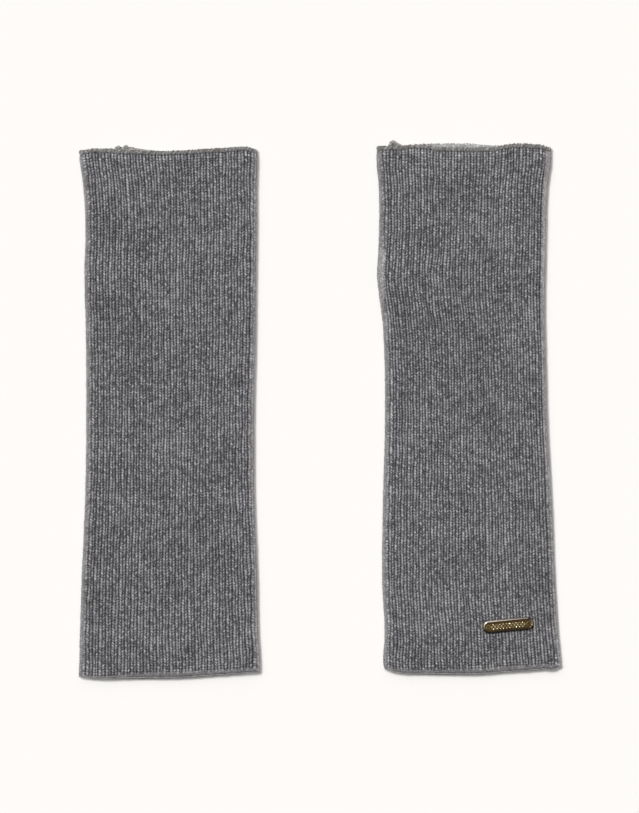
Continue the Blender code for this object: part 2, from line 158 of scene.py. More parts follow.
WARMERS = (
    Warmer(
        node="left_warmer",
        middle_x=-75.0,
        hand_y=131.5,
        arm_y=-132.2,
        gape=1.2,
        seed=3,
        sections=table(
            Section,
            (0, -45.8, 43.8, 2.2, 2.2, 0.0, 0.0, 0.00, 0.0),
            (5, -45.4, 43.8, 2.3, 2.4, 0.1, 0.2, 0.00, 0.0),
            (15, -43.9, 43.5, 2.4, 2.4, 0.2, 0.2, 0.10, 0.1),
            (40, -42.5, 43.4, 2.6, 2.4, 0.2, 0.2, 0.10, 0.1),
            (60, -43.0, 43.1, 2.6, 2.4, 0.3, 0.2, 0.20, 0.1),
            (90, -42.3, 42.8, 2.4, 2.4, 0.2, 0.2, 0.10, 0.1),
            (135, -42.1, 42.0, 2.4, 2.4, 0.2, 0.2, 0.10, 0.1),
            (175, -42.7, 42.2, 2.4, 2.4, 0.2, 0.2, 0.10, 0.1),
            (215, -44.4, 43.6, 2.4, 2.4, 0.2, 0.2, 0.10, 0.1),
            (245, -45.3, 44.2, 2.4, 2.6, 0.2, 0.3, 0.10, 0.1),
            (260, -45.7, 45.1, 2.4, 2.6, 0.2, 0.2, 0.00, 0.0),
            (264, -46.0, 45.2, 2.2, 2.4, 0.0, 0.0, 0.00, 0.0),
        ),
        hand_rim=table(
            Rim,
            (0.00, -0.6, -0.6, 1.6), (0.05, 0.2, 0.0, 1.6), (0.14, 0.3, 0.2, 1.6),
            (0.20, -0.1, 1.2, 1.6), (0.26, -0.3, 1.3, 1.6), (0.33, -0.5, 0.5, 1.6),
            (0.39, -0.9, -0.7, 1.6), (0.50, -0.9, -0.9, 1.6), (0.60, -0.5, -0.8, 1.6),
            (0.73, 0.2, -0.2, 1.6), (0.84, 0.7, 0.2, 1.7), (0.91, 1.2, 0.7, 1.7),
            (0.96, 1.3, 0.8, 1.7), (1.00, 0.1, 0.1, 1.7),
        ),
        arm_rim=table(
            Rim,
            (0.00, -0.3, -0.3, 1.4), (0.06, 0.5, 0.8, 1.5), (0.15, 0.5, 1.0, 1.7),
            (0.30, 0.2, 0.8, 2.6), (0.58, 0.0, 0.5, 3.4), (0.75, -1.1, -0.6, 2.8),
            (0.92, -2.1, -1.7, 2.6), (1.00, -2.7, -2.7, 2.4),
        ),
    ),
    Warmer(
        node="right_warmer",
        middle_x=72.9,
        hand_y=133.5,
        arm_y=-130.2,
        gape=2.2,
        seed=11,
        sections=table(
            Section,
            (0, -45.0, 42.8, 2.4, 4.0, 0.1, 0.4, 0.00, 0.4),
            (8, -44.9, 42.4, 2.4, 4.2, 0.2, 0.8, 0.00, 0.9),
            (18, -44.0, 41.0, 2.4, 4.2, 0.3, 1.0, 0.00, 1.0),
            (40, -43.7, 40.1, 2.8, 4.0, 0.4, 1.0, 0.35, 1.0),
            (54, -44.2, 39.8, 3.6, 3.8, 0.6, 1.0, 0.95, 1.0),
            (64, -44.8, 39.6, 4.0, 3.8, 0.8, 1.0, 1.00, 1.0),
            (73, -44.0, 39.4, 3.4, 3.8, 0.6, 1.0, 0.90, 0.9),
            (88, -42.0, 39.4, 2.6, 3.8, 0.3, 1.0, 0.25, 0.8),
            (105, -41.1, 39.7, 2.4, 3.6, 0.2, 0.9, 0.10, 0.7),
            (140, -40.8, 40.6, 2.4, 3.4, 0.2, 0.7, 0.10, 0.6),
            (180, -41.8, 42.8, 2.4, 2.9, 0.2, 0.4, 0.10, 0.3),
            (220, -42.1, 44.5, 2.4, 2.5, 0.2, 0.2, 0.10, 0.1),
            (247, -41.0, 46.2, 2.4, 2.6, 0.2, 0.2, 0.10, 0.1),
            (259, -41.6, 47.3, 2.4, 2.6, 0.2, 0.2, 0.00, 0.0),
            (264, -41.3, 47.7, 2.2, 2.4, 0.0, 0.0, 0.00, 0.0),
        ),
        hand_rim=table(
            Rim,
            (0.00, -0.5, -0.5, 1.6), (0.06, -0.3, -0.2, 1.6), (0.12, -0.3, -0.1, 1.6),
            (0.20, 0.4, 0.2, 1.6), (0.27, 0.3, 0.8, 1.6), (0.34, -0.8, 1.0, 1.6),
            (0.45, -1.1, 1.0, 1.6), (0.54, -1.2, 1.0, 1.6), (0.60, -1.1, 0.3, 1.6),
            (0.68, -0.9, 0.0, 1.7), (0.74, 0.2, -0.1, 1.8), (0.84, 0.9, 0.1, 1.9),
            (0.92, 0.4, -0.2, 1.8), (0.97, 0.0, -0.4, 1.7), (1.00, -1.1, -1.1, 1.7),
        ),
        arm_rim=table(
            Rim,
            (0.00, -1.9, -1.9, 1.8), (0.02, -1.1, -1.1, 1.9), (0.08, -0.2, 0.1, 2.0),
            (0.20, 0.0, 0.5, 2.2), (0.40, 0.3, 0.9, 2.8), (0.55, 0.2, 0.7, 3.0),
            (0.70, -0.9, -0.5, 3.0), (0.85, -1.6, -1.2, 3.0), (0.92, -2.1, -1.8, 2.9),
            (0.97, -1.9, -1.6, 2.8), (1.00, -3.0, -3.0, 2.6),
        ),
    ),
)


def smooth_step(low, high, value):
    """0 below low, 1 above high, and a smooth slope between."""
    t = np.clip((np.asarray(value, float) - low) / (high - low), 0.0, 1.0)
    return t * t * (3.0 - 2.0 * t)


def fade(low, high, value):
    """1 below low, 0 above high, and a smooth slope between."""
    return 1.0 - smooth_step(low, high, value)


def bell(value, middle, width):
    """1 at the middle, about a third one width from it, and soon nothing."""
    return np.exp(-(((value - middle) / width) ** 2))


def unit(vectors):
    return vectors / np.linalg.norm(vectors, axis=1)[:, None]


def run_along(path):
    """How far along a path each of its points lies."""
    steps = np.linalg.norm(np.diff(path, axis=0), axis=1)
    return np.concatenate([[0.0], np.cumsum(steps)])


def column(rows, name, at):
    """A table column's value at a place between its rows, on a smooth curve through them."""
    places = np.array([row[0] for row in rows], float)
    values = np.array([getattr(row, name) for row in rows], float)
    slopes = np.gradient(values, places)
    at = np.clip(np.asarray(at, float), places[0], places[-1])
    i = np.clip(np.searchsorted(places, at, side="right") - 1, 0, len(places) - 2)
    step = places[i + 1] - places[i]
    t = (at - places[i]) / step
    ease = smooth_step(0.0, 1.0, t)
    bend = t * (1.0 - t) * ((1.0 - t) * slopes[i] * step - t * slopes[i + 1] * step)
    return values[i] + (values[i + 1] - values[i]) * ease + bend


def section_at(warmer, along):
    names = Section._fields[1:]
    return Section(along, *(float(column(warmer.sections, n, along)) for n in names))


def length_of(warmer):
    return warmer.hand_y - warmer.arm_y


def slit_open(warmer, along):
    """How far each lip of the thumb slit stands from its rest line."""
    share = np.clip((along - SLIT_START) / (SLIT_END - SLIT_START), 0.0, 1.0)
    return 0.5 * warmer.gape * math.sin(math.pi * share) ** 0.8


def arc(centre_x, radius_x, radius_z, first, last):
    """Points (x, z) of part of an ellipse whose middle is at the height of the fold's waist."""
    turn = np.radians(np.linspace(first, last, ARC_POINTS))
    return np.stack([centre_x + radius_x * np.cos(turn), FOLD_WAIST + radius_z * np.sin(turn)], 1)


def swells(warmer, x, y):
    """Soft rises and hollows of the upper layer, longer along the warmer than across it."""
    turn = warmer.seed
    slow = np.sin(x / 13.0 + turn) * np.sin(y / 31.0 + 2.0 * turn)
    slant = np.sin((x + 0.6 * y) / 17.0 + 3.0 * turn)
    return 0.16 * slow + 0.09 * slant


def upper_profile(warmer, section):
    """The plain outer face from the left foot, over the top, to the right foot, as (x, z)."""
    left = section.left + FOLD_INSET
    right = section.right - FOLD_INSET
    flat_from = left + section.left_roll
    flat_to = right - section.right_roll
    x = np.linspace(flat_from, flat_to, TOP_POINTS)
    lofts = section.left_loft * np.exp(-(x - flat_from) / LOFT_REACH)
    lofts += section.right_loft * np.exp(-(flat_to - x) / LOFT_REACH)
    z = FLAT_HEIGHT + lofts + swells(warmer, x, section.along)
    return np.concatenate([
        arc(left + FOLD_FOOT, FOLD_FOOT, FOLD_WAIST, -90, -180),
        arc(flat_from, section.left_roll, z[0] - FOLD_WAIST, 180, 90)[1:],
        np.stack([x, z], 1)[1:-1],
        arc(flat_to, section.right_roll, z[-1] - FOLD_WAIST, 90, 0),
        arc(right - FOLD_FOOT, FOLD_FOOT, FOLD_WAIST, 0, -90)[1:],
    ])


def along_profile(profile, shares):
    """Points at shares of a profile's length, and the normal at each."""
    length = run_along(profile)
    tangent = np.gradient(profile, length, axis=0)
    at = shares * length[-1]
    points = np.stack([np.interp(at, length, profile[:, i]) for i in (0, 1)], 1)
    lie = unit(np.stack([np.interp(at, length, tangent[:, i]) for i in (0, 1)], 1))
    return points, np.stack([-lie[:, 1], lie[:, 0]], 1)


def ends_y(warmer, across, back_share, along):
    """Y of points that lie at a share of the way from the hand rim to the arm rim."""
    rims = []
    for rim in (warmer.hand_rim, warmer.arm_rim):
        front = column(rim, "front", across)
        back = column(rim, "back", across)
        rims.append(front + (back - front) * back_share)
    hand = warmer.hand_y + rims[0]
    arm = warmer.arm_y - rims[1]
    return hand + (arm - hand) * along / length_of(warmer)


def rounding(warmer, along):
    """How far the rim's round edge draws the face in."""
    from_rim = min(along, length_of(warmer) - along)
    rise = max(0.0, 1.0 - from_rim / RIM_ROUND)
    return RIM_ROUND * (1.0 - math.sqrt(1.0 - rise * rise))


def stitch_rows(warmer):
    """Distances of the rows from the hand end, two to a course, and closer round the rims."""
    length = length_of(warmer)
    courses = round((length - 2 * RIM_DEPTH) / COURSE)
    rows = np.linspace(RIM_DEPTH, length - RIM_DEPTH, 2 * courses + 1)
    crest = np.arange(len(rows)) % 2 * 2.0 - 1.0
    rim = np.array(RIM_ROWS)
    still = np.zeros(len(rim))
    along = np.concatenate([rim, rows, length - rim[::-1]])
    course = (along - RIM_DEPTH) * courses / (length - 2 * RIM_DEPTH)
    return along, course, np.concatenate([still, crest, still])


# Each column's place in ribs, from the left foot over the top to the right foot
OVER_AT = np.array([rib + s.place for rib in range(RIBS_OVER) for s in STRANDS] + [RIBS_OVER])
OVER_HEIGHT = np.array([s.height for s in STRANDS] * RIBS_OVER + [STRANDS[0].height])
OVER_SWELL = np.array([s.swell for s in STRANDS] * RIBS_OVER + [0.0])
OVER_OFF_MIDDLE = np.abs(2.0 * (OVER_AT % 1.0) - 1.0)
UNDER_AT = RIBS_OVER + np.arange(1, 2 * RIBS_UNDER) / 2.0
RING_AT = np.concatenate([OVER_AT, UNDER_AT, [RIBS_OVER + RIBS_UNDER]])


def rib_wander(warmer):
    """A slow sideways drift of each rib along the warmer, as a share of a rib."""
    rng = np.random.default_rng(warmer.seed)
    phase = rng.uniform(0.0, 2.0 * math.pi, (3, RIBS_OVER + 1))
    size = rng.uniform(0.02, 0.07, (3, RIBS_OVER + 1))
    size[:, [0, -1]] = 0.0
    waves = np.array([3.0, 8.0, 21.0])

    def wander(along):
        drift = (size * np.sin(along / waves[:, None] + phase)).sum(0)
        return np.interp(OVER_AT, np.arange(RIBS_OVER + 1), drift)

    return wander


def outer_row(warmer, along, crest, wander, uneven, ragged):
    """One row of the outer face: over the top from the left foot, then back under the warmer.

    Beside the points it gives what each is like: how ribbed, how slack and how dark. The darkness
    is painted shade where it is above 0 and painted light where it is below.
    """
    section = section_at(warmer, along)
    shares = (OVER_AT + wander(along)) / RIBS_OVER
    points, normals = along_profile(upper_profile(warmer, section), np.clip(shares, 0.0, 1.0))
    left, right = points[0, 0], points[-1, 0]
    across = (points[:, 0] - left) / (right - left)
    from_arm = length_of(warmer) - along
    from_left, from_right = points[:, 0] - section.left, section.right - points[:, 0]
    off_floor = smooth_step(*OFF_FLOOR, points[:, 1])
    hand_welt = column(warmer.hand_rim, "welt", across)
    arm_welt = column(warmer.arm_rim, "welt", across)
    ribbed = smooth_step(*HAND_RIBS, along / hand_welt)
    ribbed = ribbed * smooth_step(*ARM_RIBS, from_arm / arm_welt)
    left_side = fade(LEFT_FOLD_SMOOTH - 1.0, LEFT_FOLD_SMOOTH + 1.0, from_left)
    right_side = fade(FOLD_SMOOTH - 1.0, FOLD_SMOOTH + 1.0, from_right)
    side = np.maximum(left_side, right_side)
    strip = STRIP_WIDTH + STRIP_FLARE * math.exp(-along / STRIP_FLARE_FADE)
    loose = SLACK_WIDTH * section.left_slack
    slack = section.right_slack * fade(strip - 0.4, strip + 0.3, from_right)
    slack = slack + section.left_slack * fade(loose - 0.6, loose + 0.6, from_left)
    slack = np.maximum(slack, SIDE_SLACK * side)
    relief = OVER_HEIGHT * (1.0 - SLACK_FLATTENS * slack) + SLACK_HEIGHT * slack
    relief = relief + crest * OVER_SWELL * (1.0 - SLACK_EVENS * slack) + uneven
    bead = HAND_BEAD * np.sin(math.pi * np.clip(along / (0.75 * hand_welt), 0.0, 1.0))
    bead += ARM_BEAD * np.sin(math.pi * np.clip(from_arm / arm_welt, 0.0, 1.0)) ** 0.7
    bead += BEAD_RIPPLE * np.cos(4.0 * math.pi * OVER_AT)
    relief = relief * ribbed + bead * (1.0 - ribbed)
    crease = bell(along, CREASE_AT, CREASE_WIDTH) * off_floor
    relief = relief - CREASE_DEPTH * crease
    relief = (relief - rounding(warmer, along) * (1.0 - 0.6 * side)) * off_floor
    # Painted light on the left fold
    pale = LEFT_FOLD_PAINTED_LIGHT * (bell(from_left, LEFT_PALE_AT, LEFT_PALE_WIDTH) * off_floor)
    # Painted light on the right fold and its outermost edge
    pale = pale + RIGHT_FOLD_PAINTED_LIGHT * right_side + RIGHT_EDGE_PAINTED_LIGHT * fade(*RIGHT_EDGE, from_right)
    # Painted light on the rounded arm end
    pale = np.maximum(pale, ARM_END_PAINTED_LIGHT * fade(*ARM_END, from_arm))
    # Painted shade in the crease, with a paler band just below it
    dark = crease - BELOW_CREASE_PALE * bell(along, BELOW_CREASE, BELOW_CREASE_WIDTH)
    # Painted shade on the arm welts, less the painted light
    dark = dark + WELT_PAINTED_SHADE * fade(*ARM_WELT, from_arm / arm_welt) - pale
    # Painted shade on the outer edge of the left fold
    dark = dark + LEFT_EDGE_PAINTED_SHADE * fade(*LEFT_EDGE, from_left)
    points = points + normals * relief[:, None]
    opened = slit_open(warmer, along)
    if opened > 0.0:
        index = np.arange(len(points))
        way = np.where(index > SLIT_LOWER_LIP, opened, -opened)
        reach = np.clip(1.0 - np.abs(index - SLIT_LOWER_LIP - 0.5) / LIP_REACH, 0.0, 1.0)
        points[:, 1] += way * reach * off_floor
    back_share = fade(*BACK_FACE, points[:, 1])
    slant = STITCH_SLANT * (OVER_OFF_MIDDLE - 0.5)
    slant = slant * smooth_step(0.0, SLANT_FADE, along) * smooth_step(0.0, SLANT_FADE, from_arm)
    y = ends_y(warmer, across, back_share, along - slant * off_floor)
    y = y + ragged * (math.exp(-along / 2.0) + math.exp(-from_arm / 2.0))
    under_share = 1.0 - (UNDER_AT - RIBS_OVER) / RIBS_UNDER
    under_x = left + (right - left) * under_share
    groove = np.where(UNDER_AT % 1.0 > 0.25, 0.0, UNDER_GROOVE)
    ends = smooth_step(0.5, 2.5, along) * smooth_step(0.5, 3.0, from_arm)
    under_z = (groove + 0.05 * (1.0 - crest) * np.abs(crest)) * ends
    under_y = ends_y(warmer, under_share, 1.0, along)
    over = np.stack([points[:, 0], y, points[:, 1]], 1)
    under = np.stack([under_x, under_y, under_z], 1)
    over_is = np.stack([ribbed, slack, dark], 1)
    # Painted light on the underside near the arm end
    under_pale = UNDER_END_PAINTED_LIGHT * fade(*UNDER_END, from_arm)
    under_is = np.stack([ends, 0.0 * ends, -under_pale], -1) + np.zeros((len(under), 3))
    return np.concatenate([over, under]), np.concatenate([over_is, under_is])


def inner_row(warmer, along):
    """One row of the plain inside: along the roof from the left, then back along the floor."""
    section = section_at(warmer, along)
    left = section.left + FOLD_INSET + WALL
    right = section.right - FOLD_INSET - WALL
    profile = upper_profile(warmer, section)
    over = profile[profile[:, 1] > FOLD_WAIST]
    rings = []
    for count, is_roof in ((ROOF_COLUMNS, True), (FLOOR_COLUMNS, False)):
        share = 0.5 - 0.5 * np.cos(np.linspace(0.0, math.pi, count + 1))
        x = left + (right - left) * share
        if is_roof:
            closing = np.sqrt(np.clip(np.minimum(x - left, right - x) / 2.0, 0.0, 1.0))
            room = np.interp(x, over[:, 0], over[:, 1]) - WALL - UNDER_WALL - INSIDE_GAP
            z = UNDER_WALL + INSIDE_GAP + np.maximum(room, 0.2) * closing
            z[0] += 0.5 * slit_open(warmer, along)
        else:
            z = np.full(count + 1, UNDER_WALL - rounding(warmer, along))
            z[0] -= 0.3 * slit_open(warmer, along)
        y = ends_y(warmer, share, 0.0 if is_roof else 1.0, along)
        ring = np.stack([x, y, z], 1)
        rings.append(ring if is_roof else ring[::-1])
    return np.concatenate(rings)


def quads_round(row, col, count, first):
    """Vertex numbers of the quads that start at these rows and columns of closed rings."""
    after = (col + 1) % count
    low, high = first + row * count, first + (row + 1) * count
    return np.stack([low + col, low + after, high + after, high + col], 1).tolist()


def corners(across, along, row, col):
    """The UVs of the same quads' corners, from the places of all columns and rows."""
    u = across[np.stack([col, col + 1, col + 1, col], 1)]
    v = along[np.stack([row, row, row + 1, row + 1], 1)]
    return np.stack([u, v], 2).reshape(-1, 2).tolist()


def zipped(outer_at, inner_at):
    """Triangles that close a rim between two rings, as (ring, place in it) pairs."""
    made = []
    i = j = 0
    while i < len(outer_at) or j < len(inner_at):
        next_outer = outer_at[i + 1] if i + 1 < len(outer_at) else 2.0
        next_inner = inner_at[j + 1] if j + 1 < len(inner_at) else 2.0
        here = [(0, i), (1, j)]
        if j == len(inner_at) or (i < len(outer_at) and next_outer <= next_inner):
            i += 1
            made.append([*here, (0, i)])
        else:
            j += 1
            made.append([*here, (1, j)])
    return made


def places_round(outer, inner):
    """Where two rings' points lie round them: 0 to 1 over the top, and 1 to 2 back under."""
    over = len(OVER_AT)
    top = OVER_AT / RIBS_OVER
    left, right = outer[0, 0], outer[over - 1, 0]
    under = 2.0 - (outer[over:, 0] - left) / (right - left)
    above = outer[:over, 2] > FOLD_WAIST
    roof = np.interp(inner[: ROOF_COLUMNS + 1, 0], outer[:over, 0][above], top[above])
    floor = 2.0 - (inner[ROOF_COLUMNS + 1 :, 0] - left) / (right - left)
    floor[0] = 0.5 * (1.0 + roof[-1])
    return np.concatenate([top, under]), np.concatenate([roof, floor])


def mesh_of(name, points, faces, uvs=None):
    """A mesh of points in millimetres, with a UV for each corner of each face if given."""
    mesh = bpy.data.meshes.new(name)
    mesh.from_pydata((np.asarray(points, float) * MM).tolist(), [], faces)
    for layer, values in (uvs or {}).items():
        made = mesh.uv_layers.new(name=layer)
        made.uv.foreach_set("vector", np.asarray(values, np.float32).ravel())
    mesh.shade_smooth()
    return mesh


def shown(data, finish=None):
    """The object that puts a mesh, light or camera into the scene, with its finish if given."""
    made = bpy.data.objects.new(data.name, data)
    bpy.context.scene.collection.objects.link(made)
    if finish:
        data.materials.append(finish)
    return made


def knit_mesh(warmer):
    """A warmer's cloth: stitched outside, plain inside, round rims and an open thumb slit."""
    along, course, crest = stitch_rows(warmer)
    wander = rib_wander(warmer)
    rng = np.random.default_rng(warmer.seed + 1)
    per_stitch = rng.normal(0.0, STITCH_UNEVEN, (len(along) // 2 + 1, len(OVER_AT) // 3 + 1))
    strand = np.arange(len(OVER_AT)) // 3
    ragged = np.convolve(rng.normal(0.0, RIM_UNEVEN, len(OVER_AT)), (0.5, 1.0, 0.5), "same")
    made = [
        outer_row(warmer, a, c, wander, per_stitch[n // 2, strand], ragged)
        for n, (a, c) in enumerate(zip(along, crest))
    ]
    outer = np.stack([row for row, _ in made])
    inner = np.stack([inner_row(warmer, a) for a in along])
    rows, around, inside = len(along), outer.shape[1], inner.shape[1]
    # Painted light on the inside near both rims
    pale = INSIDE_PAINTED_LIGHT * np.exp(-np.minimum(along, along[-1] - along) / INSIDE_PAINTED_LIGHT_REACH)
    inside_is = np.repeat(np.stack([0.0 * pale, 0.0 * pale, -pale], 1), inside, 0)
    likes = np.concatenate([*(like for _, like in made), inside_is])
    slit = (along[:-1] >= SLIT_START) & (along[:-1] < SLIT_END)
    inner_at = np.linspace(0.0, RIBS_OVER + RIBS_UNDER, inside + 1)
    # The flat layout: the outer face up to 0.88, the inner from 0.90, the slit's lips between
    # them, and the rims below and above both
    flat_v = 0.03 + 0.94 * (along / along[-1])
    layers = (
        (around, 0, SLIT_LOWER_LIP, RING_AT, RING_AT / RING_AT[-1] * 0.88),
        (inside, rows * around, inside - 1, inner_at, 0.90 + 0.10 * inner_at / inner_at[-1]),
    )
    faces, knit, sheet = [], [], []
    for count, first, slit_column, ribs_at, flat_u in layers:
        row = np.repeat(np.arange(rows - 1), count)
        col = np.tile(np.arange(count), rows - 1)
        keep = ~(slit[row] & (col == slit_column))
        row, col = row[keep], col[keep]
        faces += quads_round(row, col, count, first)
        knit += corners(ribs_at, course, row, col)
        sheet += corners(flat_u, flat_v, row, col)

    def number(ring, row, col):
        """The vertex at a place on the outer face, which is ring 0, or the inner one, ring 1."""
        count, first = layers[ring][:2]
        return first + row * count + col % count

    slit_rows = np.flatnonzero(slit)
    lips = (SLIT_LOWER_LIP + 1, 0, 0.885), (SLIT_LOWER_LIP, inside - 1, 0.893)
    for lip, inner_lip, strip in lips:
        for row in slit_rows:
            lip_places = (0, 0, lip), (1, 0, inner_lip), (1, 1, inner_lip), (0, 1, lip)
            faces.append([number(ring, row + deep, col) for ring, deep, col in lip_places])
            for wide, deep in ((0, 0), (1, 0), (1, 1), (0, 1)):
                knit.append([lip / len(STRANDS) + 0.3 * wide, course[row + deep]])
                sheet.append([strip + 0.005 * wide, flat_v[row + deep]])
    for row in (slit_rows[0], slit_rows[-1] + 1):
        ends = (0, SLIT_LOWER_LIP + 1), (1, 0), (1, inside - 1), (0, SLIT_LOWER_LIP)
        faces.append([number(ring, row, col) for ring, col in ends])
        knit += [[0.9, course[row]]] * 4
        sheet += [[0.891, 0.01 + 0.01 * d] for d in (0, 0, 1, 1)]
    for row, *flat in ((0, 0.024, 0.004), (rows - 1, 0.976, 0.996)):
        rings = places_round(outer[row], inner[row])
        closed = [np.append(ring, 2.0) for ring in rings]
        for triangle in zipped(*rings):
            faces.append([number(ring, row, place) for ring, place in triangle])
            for ring, place in triangle:
                at = closed[ring][place]
                ribs = at * RIBS_OVER if at < 1.0 else RIBS_OVER + (at - 1.0) * RIBS_UNDER
                knit.append([ribs, course[row] + 0.5 * ring])
                sheet.append([0.44 * at, flat[ring]])
    points = np.concatenate([outer.reshape(-1, 3), inner.reshape(-1, 3)])
    points[:, 0] += warmer.middle_x
    mesh = mesh_of(warmer.node + "_knit", points, faces, {"knit": knit, "OFBake": sheet})
    like = mesh.attributes.new("like", "FLOAT_VECTOR", "POINT")
    like.data.foreach_set("vector", likes.ravel())
    bm = bmesh.new()
    bm.from_mesh(mesh)
    bmesh.ops.recalc_face_normals(bm, faces=bm.faces)
    bm.to_mesh(mesh)
    bm.free()
    return mesh


class Shade:
    """A value or colour in a material, carried by a node's output."""

    def __init__(self, tree, socket=None):
        self.tree = tree
        self.socket = socket

    def node(self, kind, settings=None, inputs=None, output=0):
        """A node of a kind, with its settings made first and then its sockets filled."""
        made = self.tree.nodes.new("ShaderNode" + kind)
        for name, value in (settings or {}).items():
            if name == "stops":
                ramp = made.color_ramp.elements
                while len(ramp) < len(value):
                    ramp.new(1.0)
                for stop, (place, colour) in zip(ramp, value):
                    stop.position = place
                    stop.color = (*colour, 1.0)
            else:
                setattr(made, name, value)
        for name, value in (inputs or {}).items():
            self.feed(made.inputs[name], value)
        return Shade(self.tree, made.outputs[output])

    def feed(self, socket, value):
        if isinstance(value, Shade):
            self.tree.links.new(value.socket, socket)
        else:
            socket.default_value = value

    def into(self, name):
        """Feeds a socket of the material's own shader."""
        self.feed(self.tree.nodes["Principled BSDF"].inputs[name], self)

    def maths(self, operation, *values):
        return self.node("Math", {"operation": operation}, dict(enumerate(values)))

    def __add__(self, other):
        return self.maths("ADD", self, other)

    __radd__ = __add__

    def __sub__(self, other):
        return self.maths("SUBTRACT", self, other)

    def __rsub__(self, other):
        return self.maths("SUBTRACT", other, self)

    def __mul__(self, other):
        return self.maths("MULTIPLY", self, other)

    __rmul__ = __mul__

    def __pow__(self, other):
        return self.maths("POWER", self, other)

    def __rpow__(self, other):
        return self.maths("POWER", other, self)

    def __abs__(self):
        return self.maths("ABSOLUTE", self)

    def wave(self):
        """0 to 1 and back for each whole step of the value, and 1 at whole numbers."""
        return 0.5 + 0.5 * self.maths("COSINE", self * (2.0 * math.pi))

    def between(self, low, high):
        """0 below low, 1 above high, and a smooth slope between."""
        settings = {"interpolation_type": "SMOOTHSTEP"}
        return self.node("MapRange", settings, {"Value": self, "From Min": low, "From Max": high})

    def stretched(self, scale, offset=(0.0, 0.0, 0.0)):
        """A vector made longer by a scale along each axis."""
        return self.node("Mapping", None, {"Vector": self, "Scale": scale, "Location": offset})

    def noise(self, scale, detail=2.0, roughness=0.5):
        inputs = {"Vector": self, "Scale": scale, "Detail": detail, "Roughness": roughness}
        return self.node("TexNoise", None, inputs, "Fac")

    def scaled(self, factor):
        """A colour made darker or lighter by a number."""
        return self.node("VectorMath", {"operation": "SCALE"}, {0: self, "Scale": factor}, "Vector")

    def part(self, axis):
        return self.node("SeparateXYZ", None, {"Vector": self}, axis)

    def towards(self, colour, factor):
        """This colour, turned into another as the factor goes from 0 to 1."""
        inputs = {"Factor": factor, 6: self, 7: colour}
        return self.node("Mix", {"data_type": "RGBA"}, inputs, 2)

    def ramp(self, *stops):
        return self.node("ValToRGB", {"stops": stops}, {"Fac": self}, "Color")

    def bumps(self, height_mm, strength=1.0):
        """A normal from a height of 0 to 1, which stands for so many millimetres."""
        inputs = {"Height": self, "Distance": height_mm * MM, "Strength": strength}
        return self.node("Bump", None, inputs, "Normal")


def material(name, **constants):
    """A Principled material with its even sockets set, and the shade that its nodes start from."""
    made = bpy.data.materials.new(name)
    made.use_nodes = True
    shader = made.node_tree.nodes["Principled BSDF"]
    for socket, value in constants.items():
        shader.inputs[socket.replace("_", " ")].default_value = value
    return made, Shade(made.node_tree)


def knit_material():
    """Mottled grey wool, with painted shade in the gutters and in dots between stitches, so that
    the legs of yarn stand out light.
    """
    made, start = material(
        "grey rib knit",
        Roughness=0.9,
        Sheen_Weight=0.55,
        Sheen_Roughness=0.45,
        Sheen_Tint=(0.9, 0.89, 0.9, 1.0),
        Specular_IOR_Level=0.2,
    )
    uv = start.node("UVMap", {"uv_map": "knit"}, output="UV")
    like = start.node("Attribute", {"attribute_name": "like"}, output="Vector")
    ribbed = like.part("X") * (1.0 - like.part("Y"))
    dark = like.part("Z")
    leg = (1.0 - (2.0 * uv.part("X")).wave()) ** 0.75
    gutter = uv.part("X").wave() ** 3.0
    joint = uv.part("Y").wave()
    cell = uv.node("VectorMath", {"operation": "FLOOR"}, {0: uv.stretched((2.0, 1.0, 1.0))})
    by_leg = cell.node("TexWhiteNoise", {"noise_dimensions": "2D"}, {"Vector": cell}, "Value")
    by_stitch = uv.stretched((2.7, 1.7, 1.0)).noise(1.0, 1.0, 0.5)
    by_run = uv.stretched((1.3, 0.33, 1.0), (40.0, 9.0, 0.0)).noise(1.0, 1.0, 0.5)
    place = start.node("TexCoord", output="Object")
    patches = place.noise(60.0, 2.0, 0.55)
    fleck = place.noise(1150.0, 2.0, 0.65)
    grain = place.noise(1600.0, 1.0, 0.5)
    tone = 0.42 * by_leg + 0.95 * by_stitch + 0.28 * by_run + 0.36 * patches
    tone = tone + 1.50 * (grain - 0.5) - 0.515
    colour = tone.ramp(
        (0.00, (0.050, 0.050, 0.054)),
        (0.35, (0.160, 0.158, 0.168)),
        (0.60, (0.318, 0.313, 0.330)),
        (1.00, (0.530, 0.522, 0.540)),
    )
    # Painted shade in the gutters and between stitches, so that the legs of yarn stand out light
    painted_relief_shade = (0.17 + 0.83 * leg) * (1.0 - 0.24 * gutter) * (1.0 - 0.49 * joint)
    smooth = (0.40 * (tone - 0.5) + 1.1 * fleck - 0.05).ramp(
        (0.20, (0.105, 0.100, 0.100)),
        (0.50, (0.205, 0.197, 0.197)),
        (0.80, (0.370, 0.358, 0.358)),
    )
    cloth = smooth.towards(colour.scaled(painted_relief_shade), ribbed)
    # The cloth's darkness lays its painted shade and painted light on the colour here
    cloth.scaled(1.0 - 0.4 * dark).into("Base Color")
    fibres = uv.stretched((2.5, 11.0, 1.0)).noise(1.0, 3.0, 0.65)
    height = 0.75 * fibres - 0.5 * joint
    height.bumps(0.22, 0.9).into("Normal")
    return made


knit = knit_material()
cloths = []
for warmer in WARMERS:
    cloth = shown(knit_mesh(warmer), knit)
    cloths.append(cloth)
    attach(cloth, "root")
    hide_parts(warmer.node)

# The loose fibres
# Wool ends that stand out of the yarn all over each warmer, thickest along its folds and rims,
# where they blur the outline. Each is a thin, bent, three-sided spike rooted in the cloth.

